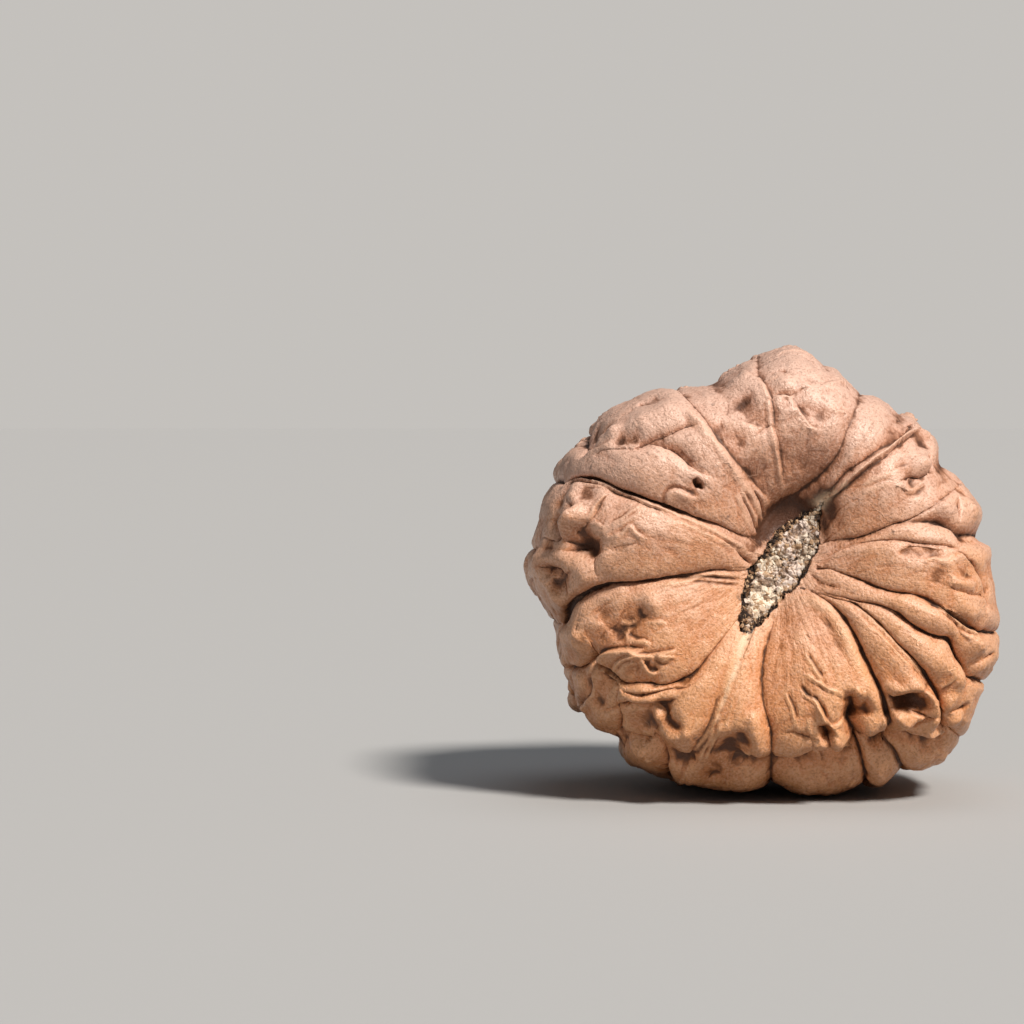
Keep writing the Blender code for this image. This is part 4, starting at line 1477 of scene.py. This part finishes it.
# Painted shade: hollows darken, and so does the painted shadow beside the scar.
sunk = hollow_mask + 0.2 * (patches - 0.5) + 1.7 * scar_shadow_mask
# Creases darkened: partly dark grime, partly painted shade.
creased = skin_graph.ramp(crease_mask + 0.2 * (patches - 0.5), 0.1, 0.9, 0.0, 0.65)
crumbly = skin_graph.noise(spot, *CRUMBLY)
rim_colour = skin_graph.blend(skin_graph.ramp(crumbly, 0.48, 0.66), SCAR_EDGE, SCAR_BROWN)
bare = skin_graph.noise(spot, *BARE)
at_scar = skin_graph.ramp(scar_mask + 0.8 * (patches - 0.5) + 2.4 * (bare - 0.5), 0.55, 0.85)
colour = skin_graph.layered(lobe, (
    (on_top, rubbed_and_lit),
    (dust_and_sheen * (0.55 - 0.45 * low_down), DUST_AND_SHEEN),
    # Painted shade on faces that turn downwards.
    (skin_graph.ramp(height_mask, -0.1, -0.8, 0.0, 0.5), shade),
    # Painted glints: pale specks on the grain's tops.
    (skin_graph.ramp(grain, 0.50, 0.64) * (0.30 - 0.12 * low_down), DUST_AND_SHEEN),
    # Painted shade in the grain's low spots.
    (skin_graph.ramp(grain, 0.47, 0.35, 0.0, 0.4), shade),
    # Painted shade in hollows and beside the scar, darkest where they are deepest.
    (skin_graph.ramp(sunk, -0.1, 0.55, 0.0, 0.8), shade),
    (skin_graph.ramp(sunk, 0.42, 1.0, 0.0, 0.88), GROUND_SHADE),
    # Painted shade in the valleys of the fine wrinkles.
    (skin_graph.ramp(threads, 0.42, 0.28, 0.0, 0.16), GROUND_SHADE),
    # Painted highlight along the tops of veins and ledges, partly rubbed wear, and a fine net of pale lines.
    (vein_mask * 0.45, rubbed_and_lit),
    (net * 0.35, rubbed_and_lit),
    (creased, CREASE_GRIME_AND_SHADE),
    (streak_mask * skin_graph.ramp(patches, 0.35, 0.55), STREAK),
    (at_scar, rim_colour),
))

rough = skin_graph.ramp(patches, 0.3, 0.7, 0.43, 0.56) + 0.125 * hollow_mask + 0.2 * crease_mask
lumps = 1.6 * (grain - 0.5) + 0.8 * (skin_graph.noise(spot, *PORES) - 0.5)
lumps = lumps + 1.2 * (threads - 0.5) + 0.5 * net
bump = skin_graph.node("ShaderNodeBump", {}, {"Height": lumps, "Distance": 0.00010, "Strength": 0.7})
surface = skin_graph.node("ShaderNodeBsdfPrincipled", {}, {
    "Base Color": colour, "Roughness": rough, "Normal": bump,
    "IOR": 1.46, "Coat Weight": 0.08, "Coat Roughness": 0.35,
})
skin_graph.node("ShaderNodeOutputMaterial", {}, {"Surface": surface})
print("shell finish:", len(shell_skin.node_tree.nodes), "nodes")

# %% Make the shell
SHELL_TRIANGLES = 194000
RELIEF = {"Knob Scale": 0.34, "Knob Height": 0.9, "Wrinkle Scale": 0.5, "Wrinkle Depth": 0.2,
          "Skin Scale": 0.55, "Skin Height": 0.3, "Granule Scale": 1.9, "Granule Height": 1.0, "Seed": 3.0,
          "Material": shell_skin}


def mesh_piece(name, points, faces):
    """A piece whose mesh has points in mm and triangles."""
    mesh = bpy.data.meshes.new(name)
    mesh.vertices.add(len(points))
    mesh.vertices.foreach_set("co", (points * MM).astype(np.float32).ravel())
    mesh.loops.add(faces.size)
    mesh.loops.foreach_set("vertex_index", faces.astype(np.int32).ravel())
    mesh.polygons.add(len(faces))
    mesh.polygons.foreach_set("loop_start", np.arange(0, faces.size, 3, dtype=np.int32))
    mesh.update(calc_edges=True)
    mesh.shade_smooth()
    return new_object(name, mesh)


def write_attribute(mesh, name, values):
    """Writes a number or a vector for each point of a mesh."""
    values = np.asarray(values, np.float32)
    kind, key = ("FLOAT", "value") if values.ndim == 1 else ("FLOAT_VECTOR", "vector")
    mesh.attributes.new(name, kind, "POINT").data.foreach_set(key, values.ravel())


shell = mesh_piece("shell_carved", points, FACES)
write_attribute(shell.data, "flow", flow)
for name, mask in MASKS.items():
    write_attribute(shell.data, name, mask)
add_nodes(shell, relief_group, RELIEF)
thin = shell.modifiers.new("thin", "DECIMATE")
thin.ratio = min(1.0, SHELL_TRIANGLES / len(FACES))
plain_mesh(shell)
print("shell:", len(shell.data.polygons), "faces")

# %% Press the flat spot onto the floor
SOFT_FLOOR = 0.25


def pressed_flat(points):
    """Moves points below the floor up to it, with a short soft bend above it."""
    low = points[:, 2] < SOFT_FLOOR
    points[low, 2] = SOFT_FLOOR * np.exp((points[low, 2] - SOFT_FLOOR) / SOFT_FLOOR)
    points[:, 2] -= points[:, 2].min()
    return points


places, corners = read_mesh(shell.data)
places = pressed_flat(places / MM)
shell.data.vertices.foreach_set("co", (places * MM).astype(np.float32).ravel())
shell.data.update()
print("shell from", places.min(0).round(2), "to", places.max(0).round(2), "mm")

# %% [markdown]
# ## Hollows and tops
#
# Hollows are darkened with painted shade, and tops are paled, partly as the wear of hands and partly as
# painted highlight. Both are found by comparing each point with the mean of the points round it: a point
# that lies below its surroundings is in a hollow. Two sizes of surroundings find the fine wrinkles and the
# broad valleys. How far the skin faces upwards is written down as well: upward faces get dust mixed with a
# painted sheen, and downward faces painted shade.

# %% Measure hollows on the finished mesh
FINE_ROUNDS = 6
BROAD_ROUNDS = 60
FINE_FULL = 0.07
BROAD_FULL = 0.6
FINE_SHARE = 0.5
BROAD_SHARE = 0.7


def neighbour_mean(faces, count):
    """A function that gives the mean over each point's neighbours."""
    start = faces[:, [0, 1, 2]].ravel()
    end = faces[:, [1, 2, 0]].ravel()
    number = np.bincount(start, minlength=count) + np.bincount(end, minlength=count)

    def mean(values):
        both = np.bincount(start, values[end], count) + np.bincount(end, values[start], count)
        return both / number

    return mean


def smoothed(points, mean, rounds):
    """Points after rounds of averaging."""
    for _ in range(rounds):
        points = np.stack([mean(points[:, axis]) for axis in range(3)], axis=1)
    return points


mean = neighbour_mean(corners, len(places))
normals = vertex_normals(places, corners)
fine = smoothed(places, mean, FINE_ROUNDS)
broad = smoothed(fine, mean, BROAD_ROUNDS)
fine_hollow = ((fine - places) * normals).sum(1) / FINE_FULL
broad_hollow = ((broad - places) * normals).sum(1) / BROAD_FULL
hollow = np.clip(FINE_SHARE * fine_hollow + BROAD_SHARE * broad_hollow, -1, 1)
write_attribute(shell.data, "hollow", hollow)
write_attribute(shell.data, "lift", normals[:, 2])
print("hollow spread:", np.percentile(hollow, (5, 50, 95)).round(2))

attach(shell, "root")
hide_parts("walnut_shell")

# %% [markdown]
# ## The plug of dry cork
#
# Where the stem grew there is still a crumbly, spongy tissue, cream in the middle and nearly black at its
# rim. A textured lump would look like putty: what makes it dry is that it consists of separate crumbs with
# dark gaps between them. So a lens is built first, in rings from one sharp end to the other. Its top follows
# the curved sheet of the skin round the slot, a little sunk and humped. Geometry Nodes then scatter crumbs
# over it, all different in size, turn and tint.

# %% The lens under the crumbs
PLUG_SINK = 0.3
PLUG_CROWN = 0.3
PLUG_HUMPS = ((0.9, 0.5, 0.22), (1.7, 2.2, 0.16), (3.1, 0.9, 0.10))
PLUG_FLOOR = -12.75
PLUG_ROWS = 56
PLUG_COLUMNS = 18
PLUG_LEAST_HALF = 0.04
DARK_LEFT = ((-6.3, -5.2, -4.2, -2.6, -1.0, 1.0, 6.0), (0.8, 0.6, 0.25, 1.1, 0.6, 0.75, 0.45))
DARK_RIGHT = ((-6.3, -5.2, -4.2, -1.5, 1.0, 6.0), (0.8, 0.6, 0.3, 0.4, 0.14, 0.14))
DARK_SHARE = 0.6
DARK_FROM = -5.8
DARK_BAND_WAVES = ((1.3, 0.6, 0.2), (3.4, 2.0, 0.3))
DARK_FADE = 0.4


def scar_to_world(across, along, depth):
    """A point in mm from places in the scar's own frame, and a depth along the nut's axis."""
    x = CENTRE[0] + SCAR_MIDDLE[0] + across * math.cos(SCAR_TILT) + along * math.sin(SCAR_TILT)
    z = CENTRE[2] + SCAR_MIDDLE[2] - across * math.sin(SCAR_TILT) + along * math.cos(SCAR_TILT)
    return np.stack((x, depth, z), axis=-1)


def plug_base():
    """Points and faces of the closed lens, how dark each point is, and which are on top."""
    ends = np.array((SCAR_FROM, SCAR_TO))
    along = np.linspace(*ends, PLUG_ROWS + 2)[1:-1][:, None]
    turn = np.linspace(0, 2 * math.pi, 2 * PLUG_COLUMNS, endpoint=False)[None]
    side = np.cos(turn)
    middle, half = between_edges(along)
    across = middle + np.clip(half, PLUG_LEAST_HALF, None) * side
    along = along + 0 * turn
    above = np.broadcast_to(np.sin(turn) >= 0, across.shape)
    crown = PLUG_CROWN * np.sqrt(np.clip(1 - side**2, 0, 1))
    top = slopes(across, along) @ scar_sheet + PLUG_SINK - crown
    for rate, phase, height in PLUG_HUMPS:
        top = top - height * np.sin(along * rate + phase) * np.cos(across * rate * 1.2 + 2 * phase)
    depth = np.where(above, top, PLUG_FLOOR + 0 * top)
    points = scar_to_world(across, along, depth).reshape(-1, 3)
    tip_places = between_edges(ends)[0]
    tips = scar_to_world(tip_places, ends, slopes(tip_places, ends) @ scar_sheet + PLUG_SINK)
    ring = 2 * PLUG_COLUMNS
    last_row = (PLUG_ROWS - 1) * ring
    quads = [(row + k, row + (k + 1) % ring, row + ring + (k + 1) % ring, row + ring + k)
             for row in range(0, last_row, ring) for k in range(ring)]
    low_tip, high_tip = len(points), len(points) + 1
    fans = [(low_tip, (k + 1) % ring, k) for k in range(ring)]
    fans += [(high_tip, last_row + k, last_row + (k + 1) % ring) for k in range(ring)]
    band = np.where(across < middle, np.interp(along, *DARK_LEFT), np.interp(along, *DARK_RIGHT))
    band = band * (1 + sum(share * np.sin(rate * along + phase) for rate, phase, share in DARK_BAND_WAVES))
    band = np.where(along > DARK_FROM, np.minimum(band, DARK_SHARE * half), band)
    dark = np.clip(0.5 + (band + beyond_edge(across, along)) / DARK_FADE, 0, 1)
    dark, above = np.append(dark, (1, 1)), np.append(above, (False, False))
    return np.vstack((points, tips)), quads + fans, dark, above


plug_points, plug_faces, plug_dark, plug_above = plug_base()
plug_mesh = bpy.data.meshes.new("plug_crumbs")
plug_mesh.from_pydata((plug_points * MM).tolist(), [], plug_faces)
write_attribute(plug_mesh, "rim", plug_dark)
write_attribute(plug_mesh, "above", plug_above.astype(float))
plug = new_object("plug_crumbs", plug_mesh)
print("lens:", len(plug_points), "points")

# %% Crumbs scattered over the lens
NO_TURN = (0.0, 0.0, 0.0)
FULL_TURN = (6.3, 6.3, 6.3)
LEAST_STRETCH = (0.6, 0.6, 0.6)
MOST_STRETCH = (1.5, 1.5, 1.5)
PIT_DENSITY = 0.12
RIM_SMALLER = 0.3
LEAST_CRUMB = 0.4

plug_group, nodes, given = geometry_group("cork_crumbs", {
    "Crumbs per mm2": (FLOAT, 20.0),
    "Crumb Size": (FLOAT, 0.2),
    "Roughness": (FLOAT, 0.1),
    "Seed": ("NodeSocketInt", 0),
    "Material": ("NodeSocketMaterial", None),
})
where = nodes.scaled(nodes.node("GeometryNodeInputPosition"), 1 / MM)
gaps = nodes.ramp(nodes.noise(where, 1.3, 2.0, 0.6), 0.36, 0.50, PIT_DENSITY, 1.0)
per_metre = given["Crumbs per mm2"] * (1 / MM**2) * named(nodes, "above") * gaps
spread = nodes.node("GeometryNodeDistributePointsOnFaces", {"distribute_method": "RANDOM"},
                    {"Mesh": given["Geometry"], "Density": per_metre, "Seed": given["Seed"]})
shape = nodes.node("GeometryNodeMeshIcoSphere", {}, {"Radius": 1.0, "Subdivisions": 1})
turn = nodes.random(NO_TURN, FULL_TURN, 1)
stretch = nodes.random(LEAST_STRETCH, MOST_STRETCH, 2)
coarse = nodes.random(0.0, 1.0, 4)
size = given["Crumb Size"] * MM * (1.0 - RIM_SMALLER * named(nodes, "rim")) * (LEAST_CRUMB + coarse ** 2.0)
scale = nodes.scaled(stretch, size)
crumbs = nodes.node("GeometryNodeInstanceOnPoints", {},
                    {"Points": spread, "Instance": shape, "Rotation": turn, "Scale": scale})
tint = nodes.random(0.0, 1.0, 3)
tinted = nodes.node("GeometryNodeStoreNamedAttribute", {"data_type": "FLOAT", "domain": "INSTANCE"},
                    {"Geometry": crumbs, "Name": "tint", "Value": tint})
loose = nodes.node("GeometryNodeRealizeInstances", {}, {"Geometry": tinted})
joined = nodes.node("GeometryNodeJoinGeometry", {}, {"Geometry": loose})
nodes.tree.links.new(given["Geometry"].socket, joined.socket.node.inputs[0])
rough_noise = nodes.node("ShaderNodeTexNoise", {}, {"Scale": 3200.0, "Detail": 2.0}, output=1)
centred = nodes.node("ShaderNodeVectorMath", {"operation": "SUBTRACT"},
                     {0: rough_noise, 1: (0.5, 0.5, 0.5)})
shake = nodes.scaled(centred, given["Roughness"] * MM)
shaken = nodes.node("GeometryNodeSetPosition", {}, {"Geometry": joined, "Offset": shake})
close_group(nodes, shaken, given["Material"])
print("crumb tree:", len(plug_group.nodes), "nodes")

# %% The cork's finish
CORK_PALE = (0.76, 0.64, 0.57, 1)
CORK_CREAM = (0.86, 0.76, 0.62, 1)
CORK_TAN = (0.50, 0.33, 0.20, 1)
CORK_BROWN = (0.17, 0.085, 0.04, 1)
CORK_DARK = (0.022, 0.011, 0.007, 1)

cork, cork_graph = new_material("cork_crumbs")
place = cork_graph.node("ShaderNodeTexCoord", output=3)
tint = cork_graph.attribute("tint")
rim_mask = cork_graph.attribute("rim")
fleck = cork_graph.noise(place, 2600.0, 3.0, 0.6)
clumps = cork_graph.noise(place, 420.0, 2.0, 0.5)
pits = cork_graph.noise(place, 1250.0, 2.0, 0.6)
cream = cork_graph.blend(cork_graph.ramp(clumps, 0.42, 0.58), CORK_PALE, CORK_CREAM)
dark = cork_graph.ramp(rim_mask + 0.8 * (tint - 0.5), 0.42, 0.62)
rim_tone = cork_graph.blend(cork_graph.ramp(fleck + 0.3 * (tint - 0.5), 0.48, 0.60), CORK_DARK, CORK_BROWN)
rim_tone = cork_graph.blend(cork_graph.ramp(tint, 0.68, 0.82), rim_tone, CORK_TAN)
cork_colour = cork_graph.layered(cream, (
    (cork_graph.ramp(tint + 0.5 * (fleck - 0.5), 0.42, 0.05), CORK_TAN),
    (cork_graph.ramp(pits, 0.52, 0.38, 0.0, 0.75), CORK_BROWN),
    (dark, rim_tone),
    (cork_graph.ramp(tint, 0.02, 0.0, 0.0, 0.9), CORK_DARK),
))
cork_bump = cork_graph.node("ShaderNodeBump", {}, {"Height": fleck, "Distance": 0.0001, "Strength": 0.8})
cork_surface = cork_graph.node("ShaderNodeBsdfPrincipled", {}, {
    "Base Color": cork_colour, "Roughness": 0.9, "Normal": cork_bump,
})
cork_graph.node("ShaderNodeOutputMaterial", {}, {"Surface": cork_surface})
print("cork finish:", len(cork.node_tree.nodes), "nodes")

# %% Make the plug
CRUMBS = {"Crumbs per mm2": 46.0, "Crumb Size": 0.22, "Roughness": 0.5, "Seed": 5, "Material": cork}
add_nodes(plug, plug_group, CRUMBS)
plain_mesh(plug)
print("plug:", len(plug.data.polygons), "faces")

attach(plug, "root")
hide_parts("stem_scar_plug")

# %% [markdown]
# ## Floor, light and camera
#
# The floor is one pale sheet that runs out of sight. The main light comes from the front, high and a little
# to the right, and is wide enough to give soft edges. A faint, cool and very wide light comes from above,
# and a sky of even grey fills the shadows. Where the camera sees that sky, it takes the floor's own colour,
# so that no horizon is seen.

# %% Stage
FLOOR_HALF = 4.0
FLOOR_COLOUR = (0.43, 0.435, 0.44, 1)
FLOOR_ROUGHNESS = 0.9
SKY_FILL = 0.12
KEY_STRENGTH = 4.4
KEY_COLOUR = (1.0, 0.93, 0.85)
KEY_ANGLE = 12.0
KEY_FROM = (0.42, -0.56, 0.76)
TOP_STRENGTH = 0.5
TOP_COLOUR = (0.88, 0.94, 1.0)
TOP_ANGLE = 40.0
TOP_FROM = (0.15, 0.10, 1.0)
CLIP_START = 0.01

table_mesh = bpy.data.meshes.new("table")
corners_of_floor = [(-FLOOR_HALF, -FLOOR_HALF, 0), (FLOOR_HALF, -FLOOR_HALF, 0),
                    (FLOOR_HALF, FLOOR_HALF, 0), (-FLOOR_HALF, FLOOR_HALF, 0)]
table_mesh.from_pydata(corners_of_floor, [], [(0, 1, 2, 3)])
table = new_object("table", table_mesh)
pale, pale_graph = new_material("pale_table")
pale_shader = pale_graph.node("ShaderNodeBsdfPrincipled", {},
                              {"Base Color": FLOOR_COLOUR, "Roughness": FLOOR_ROUGHNESS})
pale_graph.node("ShaderNodeOutputMaterial", {}, {"Surface": pale_shader})
table.data.materials.append(pale)


def lit_floor():
    """The colour that the open floor shows."""
    lights = ((KEY_FROM, KEY_STRENGTH, KEY_COLOUR), (TOP_FROM, TOP_STRENGTH, TOP_COLOUR))
    falls = SKY_FILL + sum(strength / math.pi * Vector(toward).normalized().z * np.array(colour)
                           for toward, strength, colour in lights)
    return falls * np.array(FLOOR_COLOUR[:3])


world = bpy.data.worlds.new("studio")
world.use_nodes = True
sky = Graph(world.node_tree)
seen = sky.node("ShaderNodeLightPath", output=0)
shown = sky.blend(seen, (SKY_FILL, SKY_FILL, SKY_FILL, 1), (*lit_floor(), 1))
glow = sky.node("ShaderNodeBackground", {}, {"Color": shown})
sky.node("ShaderNodeOutputWorld", {}, {"Surface": glow})
bpy.context.scene.world = world
bpy.context.scene.view_settings.view_transform = "Standard"


def distant_light(name, toward, strength, colour, angle):
    """A light as wide as an angle, far away in a direction."""
    light = bpy.data.lights.new(name, "SUN")
    light.energy = strength
    light.color = colour
    light.angle = math.radians(angle)
    new_object(name, light).rotation_euler = Vector(toward).to_track_quat("Z", "Y").to_euler()


distant_light("key", KEY_FROM, KEY_STRENGTH, KEY_COLOUR, KEY_ANGLE)
distant_light("top", TOP_FROM, TOP_STRENGTH, TOP_COLOUR, TOP_ANGLE)

camera_data = bpy.data.cameras.new("camera")
camera_data.lens = lens
camera_data.sensor_width = SENSOR
camera_data.clip_start = CLIP_START
camera = new_object("camera", camera_data)
camera.location = Vector(CAMERA_AT) * MM
camera.rotation_euler = (math.pi / 2 - nod, 0, 0)
bpy.context.scene.camera = camera
print(len(bpy.data.lights), "lights, camera at", tuple(round(place, 3) for place in camera.location), "m")
